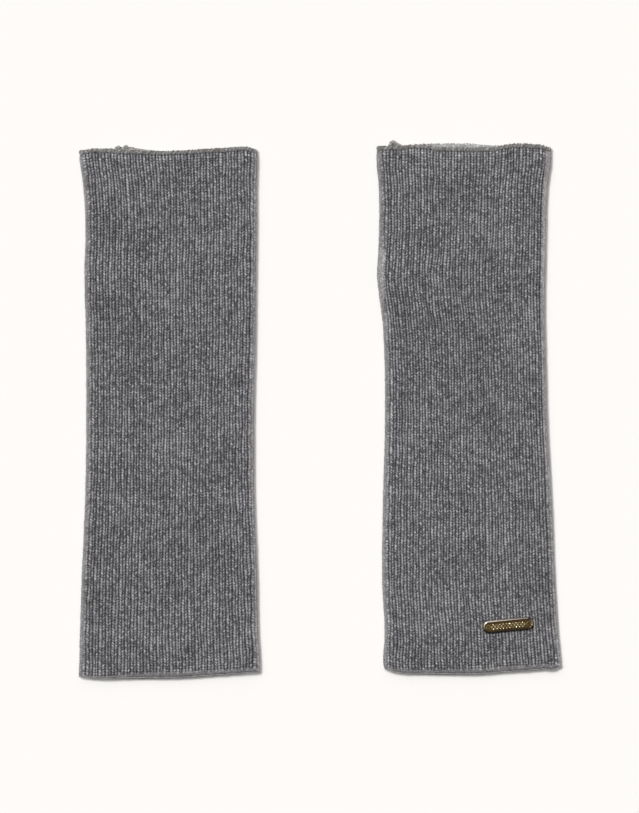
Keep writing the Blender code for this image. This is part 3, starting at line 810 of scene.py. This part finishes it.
FIBRES_ON_TOP = 5000
FIBRES_AT_EDGES = 13500
FIBRE_RADIUS = 0.027
FIBRE_SHORTEST = 0.35
FIBRE_LONGEST = 1.4
FIBRE_SIDES = 3
FIBRE_LOWEST = 0.08
FIBRE_ROOT = 0.15
FIBRE_LEAN = 0.6
FIBRE_BEND = 0.7
FIBRE_DROOP = 0.35
FACES_UP = 0.35
FACES_ASIDE = 0.75
OUTLINE_BAND = 3.0
OUTLINE_REACH = 1.3
BAKE_COLUMNS = 140


def outward_at(points):
    """Which points lie near the outline seen from above, found in bands along each axis."""
    near = np.zeros(len(points), bool)
    for axis, other in ((0, 1), (1, 0)):
        band = ((points[:, other] - points[:, other].min()) / OUTLINE_BAND).astype(int)
        at = points[:, axis]
        low = np.full(band.max() + 1, np.inf)
        high = -low
        np.minimum.at(low, band, at)
        np.maximum.at(high, band, at)
        near |= np.minimum(at - low[band], high[band] - at) < OUTLINE_REACH
    return near


def fibre_roots(cloth, rng):
    """Points on the cloth and their normals, in mm, most of them on its folds and rims."""
    count = len(cloth.data.vertices)
    points = np.empty(count * 3, np.float32)
    normals = np.empty(count * 3, np.float32)
    cloth.data.vertices.foreach_get("co", points)
    cloth.data.vertex_normals.foreach_get("vector", normals)
    points = points.reshape(-1, 3).astype(float) / MM
    normals = normals.reshape(-1, 3).astype(float)
    on_top = np.flatnonzero(normals[:, 2] > FACES_UP)
    aside = outward_at(points) & (points[:, 2] > 0.5) & (np.abs(normals[:, 2]) < FACES_ASIDE)
    picked = np.concatenate([
        rng.choice(on_top, FIBRES_ON_TOP),
        rng.choice(np.flatnonzero(aside), FIBRES_AT_EDGES),
    ])
    return points[picked], normals[picked]


def fibre_cell():
    """Where a fibre's faces lie in its own cell of the flat layout: three strips and a cap."""
    walls, points_in = [], []
    for side in range(FIBRE_SIDES):
        low, high = 0.08 + 0.22 * side, 0.26 + 0.22 * side
        walls.append([(low, 0.1), (high, 0.1), (high, 0.5), (low, 0.5)])
        points_in.append([(low, 0.54), (high, 0.54), (0.5 * (low + high), 0.9)])
    return walls, points_in, [[(0.76, 0.1), (0.92, 0.1), (0.84, 0.5)]]


FIBRE_CELL = fibre_cell()


def fibre_mesh(cloth, seed):
    """All of one warmer's loose fibres in one mesh, each with its own tone."""
    rng = np.random.default_rng(seed)
    roots, normals = fibre_roots(cloth, rng)
    count = len(roots)
    long_share = rng.uniform(0.0, 1.0, (count, 1)) ** 3
    length = FIBRE_SHORTEST + (FIBRE_LONGEST - FIBRE_SHORTEST) * long_share
    outward = normals * rng.uniform(0.25, 1.0, (count, 1))
    way = unit(outward + rng.normal(0.0, FIBRE_LEAN, (count, 3)))
    bend = unit(way + rng.normal(0.0, FIBRE_BEND, (count, 3)) - (0.0, 0.0, FIBRE_DROOP))
    starts = roots - FIBRE_ROOT * normals
    middles = roots + 0.5 * length * way
    tips = middles + 0.5 * length * bend
    for ends in (middles, tips):
        ends[:, 2] = np.maximum(ends[:, 2], FIBRE_LOWEST)
    aside = unit(np.cross(tips - starts, (0.31, 0.17, 0.93)))
    other = unit(np.cross(tips - starts, aside))
    turns = 2.0 * math.pi * np.arange(FIBRE_SIDES) / FIBRE_SIDES
    across = aside[:, None] * np.cos(turns)[:, None] + other[:, None] * np.sin(turns)[:, None]
    rings = [at[:, None] + FIBRE_RADIUS * across for at in (starts, middles)]
    points = np.concatenate([*rings, tips[:, None]], 1)
    here = np.arange(FIBRE_SIDES)
    after = (here + 1) % FIBRE_SIDES
    first = np.arange(count)[:, None, None] * points.shape[1]
    bent, bent_after, tip = FIBRE_SIDES + here, FIBRE_SIDES + after, 0 * here + 2 * FIBRE_SIDES
    walls = first + np.stack([here, after, bent_after, bent], 1)
    points_in = first + np.stack([bent, bent_after, tip], 1)
    caps = first + here[None, None, ::-1]
    groups = [np.broadcast_to(g, (count, *g.shape[1:])) for g in (walls, points_in, caps)]
    faces = [f for group in groups for f in group.reshape(-1, group.shape[2]).tolist()]
    cells = np.arange(count)
    cell = np.stack([cells % BAKE_COLUMNS, cells // BAKE_COLUMNS], 1)[:, None, None, :]
    sheet = [(cell + np.asarray(places)).reshape(-1, 2) for places in FIBRE_CELL]
    sheet = np.concatenate(sheet) / (BAKE_COLUMNS, cell.max() + 1)
    name = cloth.name.replace("knit", "fibres")
    mesh = mesh_of(name, points.reshape(-1, 3), faces, {"OFBake": sheet})
    tone = mesh.attributes.new("tone", "FLOAT", "POINT")
    tone.data.foreach_set("value", np.repeat(rng.uniform(0.0, 1.0, count), points.shape[1]))
    return mesh


def fibre_material():
    """Fine wool ends, from mid grey to near white."""
    made, start = material("loose wool", Roughness=0.8, Specular_IOR_Level=0.25)
    tone = start.node("Attribute", {"attribute_name": "tone"}, output="Fac")
    tone.ramp((0.0, (0.20, 0.195, 0.19)), (1.0, (0.55, 0.54, 0.53))).into("Base Color")
    return made


wool = fibre_material()
for warmer, cloth in zip(WARMERS, cloths):
    fibres = shown(fibre_mesh(cloth, warmer.seed + 50), wool)
    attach(fibres, "root")

# The side joins
# The two long edges of each panel are drawn together by hand down the left fold, one slanting
# stitch of the same yarn to each course. The row stops at the thumb slit and starts again past it.

JOIN_RADIUS = 0.24
JOIN_REACH = 0.85
JOIN_PROUD = 0.3
JOIN_SLANT = 0.45
RIB_WIDTH = 3.05
JOIN_SIDES = 6
JOIN_STEPS = 5
JOIN_FIRST = 6.0
JOIN_LAST = 5.0


def sides_of(path):
    """Two directions across a path at each of its points."""
    along = unit(np.gradient(path, axis=0))
    aside = unit(np.cross(along, (0.23, 0.41, 0.88)))
    return aside, np.cross(along, aside)


def strand_mesh(name, strands, sides):
    """One mesh of closed round strands, each a path and its radius, all kept off the surface."""
    points, faces = [], []
    turns = 2.0 * math.pi * np.arange(sides) / sides
    for path, radius in strands:
        path = np.asarray(path, float)
        aside, other = sides_of(path)
        first = sum(len(p) for p in points)
        last = first + (len(path) - 1) * sides
        thick = np.broadcast_to(radius, len(path))[:, None, None]
        ring = aside[:, None] * np.cos(turns)[:, None] + other[:, None] * np.sin(turns)[:, None]
        points.append((path[:, None] + thick * ring).reshape(-1, 3))
        for low in range(first, last, sides):
            high = low + sides
            for side in range(sides):
                after = (side + 1) % sides
                faces.append([low + side, low + after, high + after, high + side])
        faces.append([first + side for side in reversed(range(sides))])
        faces.append([last + side for side in range(sides)])
    points = np.concatenate(points)
    points[:, 2] = np.maximum(points[:, 2], FIBRE_LOWEST)
    return mesh_of(name, points, faces)


def smooth_route(route, steps):
    """Points of an even smooth curve through a route's points."""
    route = np.array(route, float)
    at = np.linspace(0.0, len(route) - 1.0, steps)
    i = np.minimum(at.astype(int), len(route) - 2)
    t = (at - i)[:, None]
    before, after = route[np.maximum(i - 1, 0)], route[np.minimum(i + 2, len(route) - 1)]
    low, high = route[i], route[i + 1]
    pull_low, pull_high = (high - before) / 2.0, (after - low) / 2.0
    return (
        low * (1 - t) ** 2 * (1 + 2 * t) + high * t * t * (3 - 2 * t)
        + pull_low * t * (1 - t) ** 2 - pull_high * t * t * (1 - t)
    )


def yarn_material(name, dark, pale):
    """The yarn of the cloth as loose strands, mottled between two tones."""
    made, start = material(
        name, Roughness=0.9, Sheen_Weight=0.3, Sheen_Roughness=0.45, Specular_IOR_Level=0.2
    )
    place = start.node("TexCoord", output="Object")
    place.noise(2600.0, 2.0, 0.6).ramp((0.3, dark), (0.7, pale)).into("Base Color")
    place.noise(5200.0, 2.0, 0.6).bumps(0.08, 0.8).into("Normal")
    return made


def outer_place(warmer, along, ribs):
    """A point of the plain outer face, so many ribs round from the left foot, and its normal."""
    section = section_at(warmer, along)
    share = np.clip(ribs / RIBS_OVER, 0.0, 1.0)
    points, normals = along_profile(upper_profile(warmer, section), np.array([0.0, share, 1.0]))
    (left, _), (x, z), (right, _) = points
    y = ends_y(warmer, (x - left) / (right - left), fade(*BACK_FACE, z), along)
    out = np.array([normals[1, 0], 0.0, normals[1, 1]])
    return np.array([x + warmer.middle_x, float(y), z]), out


def join_stitches(warmer):
    """The path and radius of each slanting stitch across the join."""
    at = JOIN_FIRST
    while at < length_of(warmer) - JOIN_LAST:
        if not SLIT_START - 0.5 < at < SLIT_END + 0.5:
            path = []
            for share in np.linspace(-1.0, 1.0, JOIN_STEPS):
                ribs = 1.0 + JOIN_REACH / RIB_WIDTH * share
                point, out = outer_place(warmer, at + JOIN_SLANT * COURSE * share, ribs)
                path.append(point + out * (JOIN_PROUD * (1.0 - 1.6 * share * share)))
            yield path, JOIN_RADIUS
        at += COURSE


join_yarn = yarn_material("grey yarn of the joins", (0.09, 0.088, 0.086), (0.34, 0.333, 0.33))
for warmer in WARMERS:
    stitches = join_stitches(warmer)
    join = shown(strand_mesh(warmer.node + "_join", stitches, JOIN_SIDES), join_yarn)
    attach(join, "root")

# The bound-off rims
# At the hand end each column of stitches is closed by a slanting loop of the same yarn, drawn over
# the rim from the outer face to the inner one. The loops make a rough, bumpy edge all round.

BIND_RADIUS = 0.30
BIND_RADIUS_UNDER = 0.22
BIND_SIDES = 7
BIND_STEPS = 7
BIND_PITCH = 0.34
BIND_UNEVEN = 0.09
BIND_RADIUS_UNEVEN = 0.15
BIND_UNDER = 0.20
# How far each point of a loop lies from the rim, how far it leans along the rim (in ribs), how far
# it stands over the outer face, and how far past the rim it bulges
BindPoint = namedtuple("BindPoint", "along lean proud past")
BIND_LOOP = table(
    BindPoint,
    (1.85, -0.30, -0.20, 0.0), (1.35, -0.20, 0.18, 0.0), (0.70, -0.02, 0.26, 0.0),
    (0.10, 0.12, 0.08, 0.0), (0.00, 0.20, -0.55, 0.1), (0.00, 0.26, -1.15, -0.1),
)


def bind_loops(warmer, rng):
    """Each loop's path and radius, over the top and then back along the underside."""
    for ribs in np.arange(BIND_PITCH / 2, RIBS_OVER + RIBS_UNDER, BIND_PITCH):
        shift, lift, lean = rng.normal(0.0, BIND_UNEVEN, 3)
        radius = BIND_RADIUS if ribs < RIBS_OVER else BIND_RADIUS_UNDER
        route = []
        for loop in BIND_LOOP:
            at = ribs + shift + (1.0 + 3.0 * lean) * loop.lean
            y_more = loop.past + lift
            if ribs < RIBS_OVER:
                point, out = outer_place(warmer, loop.along, at)
                point = point + out * (loop.proud + lift) + (0.0, y_more, 0.0)
            else:
                section = section_at(warmer, loop.along)
                share = 1.0 - (at - RIBS_OVER) / RIBS_UNDER
                inset = FOLD_INSET + FOLD_FOOT
                width = section.right - section.left - 2.0 * inset
                x = section.left + inset + width * share + warmer.middle_x
                y = float(ends_y(warmer, share, 1.0, loop.along)) + y_more
                point = np.array([x, y, BIND_UNDER - loop.proud])
            route.append(point)
        yield smooth_route(route, BIND_STEPS), radius * (1.0 + rng.normal(0.0, BIND_RADIUS_UNEVEN))


yarn = yarn_material("grey yarn of the rims", (0.036, 0.034, 0.030), (0.26, 0.25, 0.236))
for warmer in WARMERS:
    loops = bind_loops(warmer, np.random.default_rng(warmer.seed + 90))
    bind = shown(strand_mesh(warmer.node + "_bind", loops, BIND_SIDES), yarn)
    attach(bind, "root")

# The yarn ends
# Where the knitting was bound off and its yarn cut, short ends of the same yarn curl up out of the
# hand rims: two small knots on the left warmer's back rim, and one longer curl on the right's.

YarnEnd = namedtuple("YarnEnd", "name radius route")
YARN_ENDS = (
    YarnEnd("left_knot_a", 0.52, (
        (-101.8, 131.6, 1.3), (-101.7, 132.5, 1.7), (-101.0, 133.2, 2.0), (-100.3, 132.9, 2.2),
        (-100.6, 132.3, 2.0), (-101.3, 132.1, 1.5), (-100.4, 131.4, 1.1),
    )),
    YarnEnd("left_knot_b", 0.56, (
        (-98.4, 132.0, 1.3), (-98.0, 132.8, 1.9), (-97.2, 133.4, 2.2), (-96.3, 133.1, 2.3),
        (-96.6, 132.5, 2.0), (-97.4, 132.3, 1.5), (-96.1, 131.7, 1.1),
    )),
    YarnEnd("right_curl", 1.0, (
        (34.6, 132.6, 2.3), (35.0, 134.0, 2.9), (35.6, 135.1, 3.2), (36.5, 135.3, 3.0),
        (37.4, 134.7, 2.6), (38.3, 134.1, 2.2), (39.4, 133.6, 1.9), (40.8, 133.2, 1.6),
    )),
    YarnEnd("right_curl_root", 0.75, (
        (35.2, 132.4, 1.6), (35.8, 133.4, 2.1), (36.6, 133.9, 2.2), (37.6, 133.4, 1.9),
        (38.4, 132.8, 1.6), (39.0, 132.3, 1.4),
    )),
)
END_STEPS = 26
END_SIDES = 8
PLY_TURN = 2.6
PLY_OFFSET = 0.45
PLY_RADIUS = 0.6


def plies(route, radius):
    """The paths and radii of two strands wound round a route."""
    middle = smooth_route(route, END_STEPS)
    aside, other = sides_of(middle)
    run = run_along(middle)
    taper = np.sqrt(np.clip(np.minimum(run + 0.3, run[-1] - run + 0.3) / (1.2 * radius), 0.0, 1.0))
    for start_turn in (0.0, math.pi):
        turn = (start_turn + PLY_TURN * run / radius)[:, None]
        offset = aside * np.cos(turn) + other * np.sin(turn)
        strand = middle + PLY_OFFSET * radius * taper[:, None] * offset
        yield strand, PLY_RADIUS * radius * taper


pale_yarn = yarn_material("grey yarn, loose", (0.12, 0.116, 0.11), (0.42, 0.41, 0.395))
for end in YARN_ENDS:
    piece = shown(strand_mesh(end.name, plies(end.route, end.radius), END_SIDES), pale_yarn)
    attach(piece, "root")

# The metal bar
# A small gold-coloured plate, cast with a round raised rim and a sunk field that is left dark. A
# row of small pointed lozenges stands in the field, and a sewing hole goes through at each end.

BAR_LENGTH = 25.0
BAR_WIDTH = 6.2
BAR_CORNER = 2.6
BAR_TURN = math.radians(5.5)
BAR_CENTRE_X = 93.7
BAR_CENTRE_Y = -105.75
BAR_HOLE_RADIUS = 0.62
BAR_HOLE_INSET = 2.4
EYELET_WIDTH = 0.34
EYELET_HEIGHT = 0.16
LOZENGES = 11
LOZENGE_PITCH = 1.62
LOZENGE_LENGTH = 1.3
LOZENGE_WIDTH = 1.9
LOZENGE_HEIGHT = 0.30
DOT_RADIUS = 0.36
DOT_ACROSS = 1.0
DOT_SIDES = 8
ORNAMENT_DOWN = 0.35
ORNAMENT_WORN = (0.9, 0.3, 0.7, 1.0, 0.5, 0.2, 1.0)
PATINA = 0.45
FIELD_HEIGHT = 0.78
# The least brightness of the rim, from wear and painted highlight, on its lower side in painted
# shade
WEAR_AND_LIGHT_LEAST = 0.02
# The brightness of a painted glint near the rim's right end
GLINT = 0.9
SHARP_EDGE = math.radians(28)
SORT_WAY = Vector((1.0, 1000.0, 1000000.0))
CORNER_STEPS = 12
HOLE_STEPS = 28

# How far in from the outline each ring of the rim lies, how high it is, and how far it shows bright
# metal, from wear and from the painted highlight laid on the upper side
RimRing = namedtuple("RimRing", "inset height worn")
RIM_RINGS = table(
    RimRing,
    (0.22, 0.00, 0.2), (0.06, 0.05, 0.2), (0.00, 0.18, 0.3), (0.00, 0.46, 0.7),
    (0.08, 0.69, 1.0), (0.22, 0.88, 1.0), (0.40, 1.03, 1.0), (0.56, 1.13, 1.0),
    (0.70, 1.18, 0.6), (0.81, 1.14, 0.2), (0.89, 0.98, 0.0), (0.93, FIELD_HEIGHT, 0.0),
)
bar_low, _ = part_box("metal_bar")


def bar_outline(inset):
    """The bar's outline drawn in by so much, as (along, across) points, counter-clockwise."""
    radius = BAR_CORNER - inset
    points = []
    corners = ((1, 1, 0.0), (-1, 1, 0.5), (-1, -1, 1.0), (1, -1, 1.5))
    for side, up, start in corners:
        for step in range(CORNER_STEPS + 1):
            turn = math.pi * (start + 0.5 * step / CORNER_STEPS)
            x = side * (BAR_LENGTH / 2 - BAR_CORNER) + radius * math.cos(turn)
            y = up * (BAR_WIDTH / 2 - BAR_CORNER) + radius * math.sin(turn)
            points.append((x, y))
    return points


def hole_outline(side, radius):
    middle = side * (BAR_LENGTH / 2 - BAR_HOLE_INSET)
    turns = [2.0 * math.pi * step / HOLE_STEPS for step in range(HOLE_STEPS)]
    return [(middle + radius * math.cos(t), radius * math.sin(t)) for t in turns]


def wear_and_light_at(x, y):
    """How bright the rim's metal is from wear and painted highlight, lit on its upper side and in
    painted shade on its lower side, and how strong a painted glint near its right end is.
    """
    # Painted highlight on the upper side and painted shade on the lower side, dimmed towards the
    # upper right corner and the far left end
    wear_and_lit_side = smooth_step(-1.4, 0.8, y) * fade(9.0, 10.5, x)
    wear_and_lit_side *= 1.0 - 0.45 * smooth_step(10.8, 12.0, -x)
    # A painted glint on the rim near its right end
    painted_glint = smooth_step(10.6, 11.4, x) * smooth_step(-1.4, -0.4, y) * smooth_step(-2.2, -1.2, -y)
    return WEAR_AND_LIGHT_LEAST + (1.0 - WEAR_AND_LIGHT_LEAST) * wear_and_lit_side, GLINT * painted_glint


def bar_mesh():
    """The bar: a closed body with a rim, a field and holes, and the ornament standing in it."""
    bm = bmesh.new()
    worn = bm.verts.layers.float.new("worn")

    def ring(outline, height, how_worn=0.0):
        made = [bm.verts.new((x, y, height)) for x, y in outline]
        for vert in made:
            # Raised metal made bright by wear, with a painted highlight on the rim's upper side and
            # a painted glint near its right end
            wear_and_lit_side, painted_glint = wear_and_light_at(vert.co.x, vert.co.y)
            vert[worn] = max(how_worn * wear_and_lit_side, painted_glint if height > FIELD_HEIGHT else 0.0)
        return made

    def bridge(low, high):
        for n, vert in enumerate(low):
            after = (n + 1) % len(low)
            bm.faces.new((vert, low[after], high[after], high[n]))

    rings = [ring(bar_outline(r.inset), r.height, r.worn) for r in RIM_RINGS]
    for low, high in zip(rings, rings[1:]):
        bridge(low, high)
    eyelet = (
        (EYELET_WIDTH, FIELD_HEIGHT, 0.0),
        (0.7 * EYELET_WIDTH, FIELD_HEIGHT + EYELET_HEIGHT, 0.9),
        (0.2 * EYELET_WIDTH, FIELD_HEIGHT + EYELET_HEIGHT, 0.9),
        (0.0, FIELD_HEIGHT, 0.2),
        (0.0, 0.0, 0.0),
    )
    top_holes, low_holes = [], []
    for side in (-1, 1):
        steps = [ring(hole_outline(side, BAR_HOLE_RADIUS + w), z, how) for w, z, how in eyelet]
        for above, below in zip(steps, steps[1:]):
            bridge(above, below)
        top_holes.append(steps[0])
        low_holes.append(steps[-1])
    for border, holes in ((rings[-1], top_holes), (rings[0], low_holes)):
        loops = [border, *holes]
        verts = [v for loop in loops for v in loop]
        for corners in tessellate_polygon([[v.co for v in loop] for loop in loops]):
            bm.faces.new([verts[n] for n in corners])
    for step in range(LOZENGES):
        x = (step - (LOZENGES - 1) / 2) * LOZENGE_PITCH
        lozenge(bm, worn, x, ORNAMENT_WORN[3 * step % 7])
        if step < LOZENGES - 1:
            for n, side in enumerate((-1, 1)):
                y = side * DOT_ACROSS - ORNAMENT_DOWN
                dot(bm, worn, x + LOZENGE_PITCH / 2, y, ORNAMENT_WORN[(2 * step + 3 * n) % 7])
    bmesh.ops.recalc_face_normals(bm, faces=bm.faces)
    # Blender may number the dots' points and faces in another order on each run
    bm.verts.sort(key=lambda vert: vert.co.dot(SORT_WAY))
    bm.faces.sort(key=lambda face: face.calc_center_median().dot(SORT_WAY))
    seat = Matrix.Translation((BAR_CENTRE_X, BAR_CENTRE_Y, bar_low.z / MM))
    bm.transform(Matrix.Scale(MM, 4) @ seat @ Matrix.Rotation(BAR_TURN, 4, "Z"))
    mesh = bpy.data.meshes.new("gold_bar")
    bm.to_mesh(mesh)
    bm.free()
    mesh.shade_smooth()
    mesh.set_sharp_from_angle(angle=SHARP_EDGE)
    return mesh


def lozenge(bm, worn, x, how_worn):
    """One pointed lozenge with a small flat top, its foot sunk in the field."""
    foot = [(1, 0), (0, 1), (-1, 0), (0, -1)]
    levels = ((1.0, -0.03), (1.0, 0.08), (0.48, LOZENGE_HEIGHT))
    rings = []
    for size, height in levels:
        rings.append([
            bm.verts.new((
                x + size * a * LOZENGE_LENGTH / 2,
                size * b * LOZENGE_WIDTH / 2 - ORNAMENT_DOWN,
                FIELD_HEIGHT + height,
            ))
            for a, b in foot
        ])
    for low, high in zip(rings, rings[1:]):
        for n in range(4):
            after = (n + 1) % 4
            bm.faces.new((low[n], low[after], high[after], high[n]))
    bm.faces.new(rings[-1])
    bm.faces.new(rings[0][::-1])
    for share, verts in zip((0.0, 0.5, 1.0), rings):
        for vert in verts:
            vert[worn] = share * how_worn


def dot(bm, worn, x, y, how_worn):
    """One round dot, a low dome with its foot sunk in the field."""
    seat = Matrix.Translation((x, y, FIELD_HEIGHT - 0.02)) @ Matrix.Diagonal((1.0, 1.0, 0.6, 1.0))
    made = bmesh.ops.create_uvsphere(
        bm, u_segments=DOT_SIDES, v_segments=6, radius=DOT_RADIUS, matrix=seat
    )
    for vert in made["verts"]:
        vert[worn] = how_worn
    below = [v for v in made["verts"] if v.co.z < FIELD_HEIGHT - 0.1]
    bmesh.ops.delete(bm, geom=below, context="VERTS")


def bar_material():
    """Polished gold-coloured metal that is dark brown where the field lies low, with fine wear, a
    painted highlight along the rim's upper side and a painted glint near its right end.
    """
    made, start = material("polished gold-coloured metal", Metallic=1.0)
    place = start.node("TexCoord", output="Object")
    cloudy = place.noise(900.0, 3.0, 0.6)
    fine = place.noise(3600.0, 2.0, 0.6)
    # Wear on raised metal, with the rim's painted highlight and painted glint
    worn = start.node("Attribute", {"attribute_name": "worn"}, output="Fac")
    worn = worn * cloudy.between(0.1, 0.45)
    dark = fine.ramp((0.35, (0.010, 0.007, 0.003)), (0.65, (0.19, 0.128, 0.060)))
    pale = cloudy.ramp((0.3, (0.74, 0.62, 0.50)), (0.7, (0.95, 0.87, 0.78)))
    gold = cloudy.ramp((0.3, (0.90, 0.70, 0.36)), (0.7, (1.00, 0.86, 0.52)))
    cos, sin = math.cos(BAR_TURN), math.sin(BAR_TURN)
    middle = BAR_CENTRE_Y * cos - BAR_CENTRE_X * sin - 0.5 * ORNAMENT_DOWN
    across = (cos / MM) * place.part("Y") - (sin / MM) * place.part("X") - middle
    patina = abs(across).between(1.0, 2.1)
    dark = dark.scaled(1.0 - PATINA * patina)
    dark.towards(gold.towards(pale, patina), worn).into("Base Color")
    (0.38 - 0.14 * worn + 0.1 * (fine - 0.5)).into("Roughness")
    (0.6 * fine + 0.4 * cloudy).bumps(0.08, 0.8).into("Normal")
    return made


bar = shown(bar_mesh(), bar_material())
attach(bar, "root")
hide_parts("metal_bar")

# The sewing thread
# Brown thread comes up through each hole of the bar, crosses it twice and goes down again into the
# cloth. The two crossed turns fill the hole and stand level with the rim.

THREAD_RADIUS = 0.2
THREAD_SIDES = 8
THREAD_STEPS = 17
THREAD_REACH = 0.40
THREAD_TOP = 0.98
THREAD_DOWN = 1.1


def thread_routes():
    """The paths and radius of two crossed turns in each hole, where the bar lies."""
    cos, sin = math.cos(BAR_TURN), math.sin(BAR_TURN)
    for side in (-1, 1):
        middle = side * (BAR_LENGTH / 2 - BAR_HOLE_INSET)
        for turn, lift in ((0.35, 0.0), (2.0, 0.12)):
            route = []
            for share in np.linspace(-1.0, 1.0, 9):
                reach = THREAD_REACH * math.sin(0.5 * math.pi * share)
                drop = (THREAD_TOP + THREAD_DOWN) * max(0.0, abs(share) - 0.35) ** 1.5 * 1.6
                x = middle + reach * math.cos(turn)
                y = reach * math.sin(turn)
                route.append((
                    BAR_CENTRE_X + x * cos - y * sin,
                    BAR_CENTRE_Y + x * sin + y * cos,
                    bar_low.z / MM + THREAD_TOP + lift - drop,
                ))
            yield smooth_route(route, THREAD_STEPS), THREAD_RADIUS


def thread_material():
    made, start = material("brown sewing thread", Roughness=0.7)
    place = start.node("TexCoord", output="Object")
    twist = place.noise(7000.0, 2.0, 0.6)
    twist.ramp((0.3, (0.016, 0.011, 0.006)), (0.7, (0.10, 0.070, 0.038))).into("Base Color")
    twist.bumps(0.03, 0.6).into("Normal")
    return made


thread = shown(strand_mesh("bar_thread", thread_routes(), THREAD_SIDES), thread_material())
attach(thread, "root")

# The surface that the pair lies on
# A plain sheet of warm white acrylic, lit from beneath so that shadows on it stay pale.

FLOOR_WIDTH = 6.0
FLOOR_DROP = 0.0001

bpy.ops.mesh.primitive_plane_add(size=FLOOR_WIDTH, location=(0.0, 0.0, -FLOOR_DROP))
floor = bpy.context.object
floor.name = "floor"
acrylic, _ = material(
    "warm white acrylic",
    Base_Color=(0.55, 0.5376, 0.5239, 1.0),
    Roughness=0.95,
    Specular_IOR_Level=0.1,
    Emission_Color=(1.0, 0.975, 0.945, 1.0),
    Emission_Strength=0.224,
)
floor.data.materials.append(acrylic)

# Light
# A high light from a little to the left and towards the hand ends, a weak and wide one from the
# same side, and a sky that is bright on that side and dark on the other.

Lamp = namedtuple("Lamp", "name from_x from_y from_z strength softness")
LAMPS = table(Lamp, ("key", -0.42, 0.37, 1.0, 3.55, 12.0), ("fill", -0.55, 0.45, 1.0, 0.4, 40.0))
for lamp in LAMPS:
    data = bpy.data.lights.new(lamp.name, "SUN")
    data.energy = lamp.strength
    data.angle = math.radians(lamp.softness)
    towards = -Vector((lamp.from_x, lamp.from_y, lamp.from_z))
    shown(data).rotation_euler = towards.to_track_quat("-Z", "Y").to_euler()

sky = bpy.data.worlds.new("studio")
sky.use_nodes = True
bpy.context.scene.world = sky
air = Shade(sky.node_tree)
facing = air.node("TexCoord", output="Generated")
lit_side = (0.75 * facing.part("Y") - 0.35 * facing.part("X")).between(0.05, 0.80)
high_up = facing.part("Z").between(0.20, 0.70)
bright = lit_side * (0.15 + 0.85 * high_up)
glow = bright.ramp((0.0, (0.15, 0.15, 0.155)), (1.0, (1.30, 1.29, 1.28)))
backdrop = sky.node_tree.nodes["Background"]
air.feed(backdrop.inputs["Color"], glow)
backdrop.inputs["Strength"].default_value = 1.0

# Camera
# It looks straight down from above the middle of the picture, through a long lens.

LENS = 180.0
SENSOR = 36.0
PICTURE_HEIGHT = 406.5
PICTURE_X = -0.4
PICTURE_Y = 3.25

camera_data = bpy.data.cameras.new("camera")
camera_data.lens = LENS
camera_data.sensor_width = SENSOR
camera_data.clip_end = 20.0
camera = shown(camera_data)
camera.location = (PICTURE_X * MM, PICTURE_Y * MM, PICTURE_HEIGHT * MM * LENS / SENSOR)
bpy.context.scene.camera = camera
bpy.context.scene.view_settings.view_transform = "Standard"
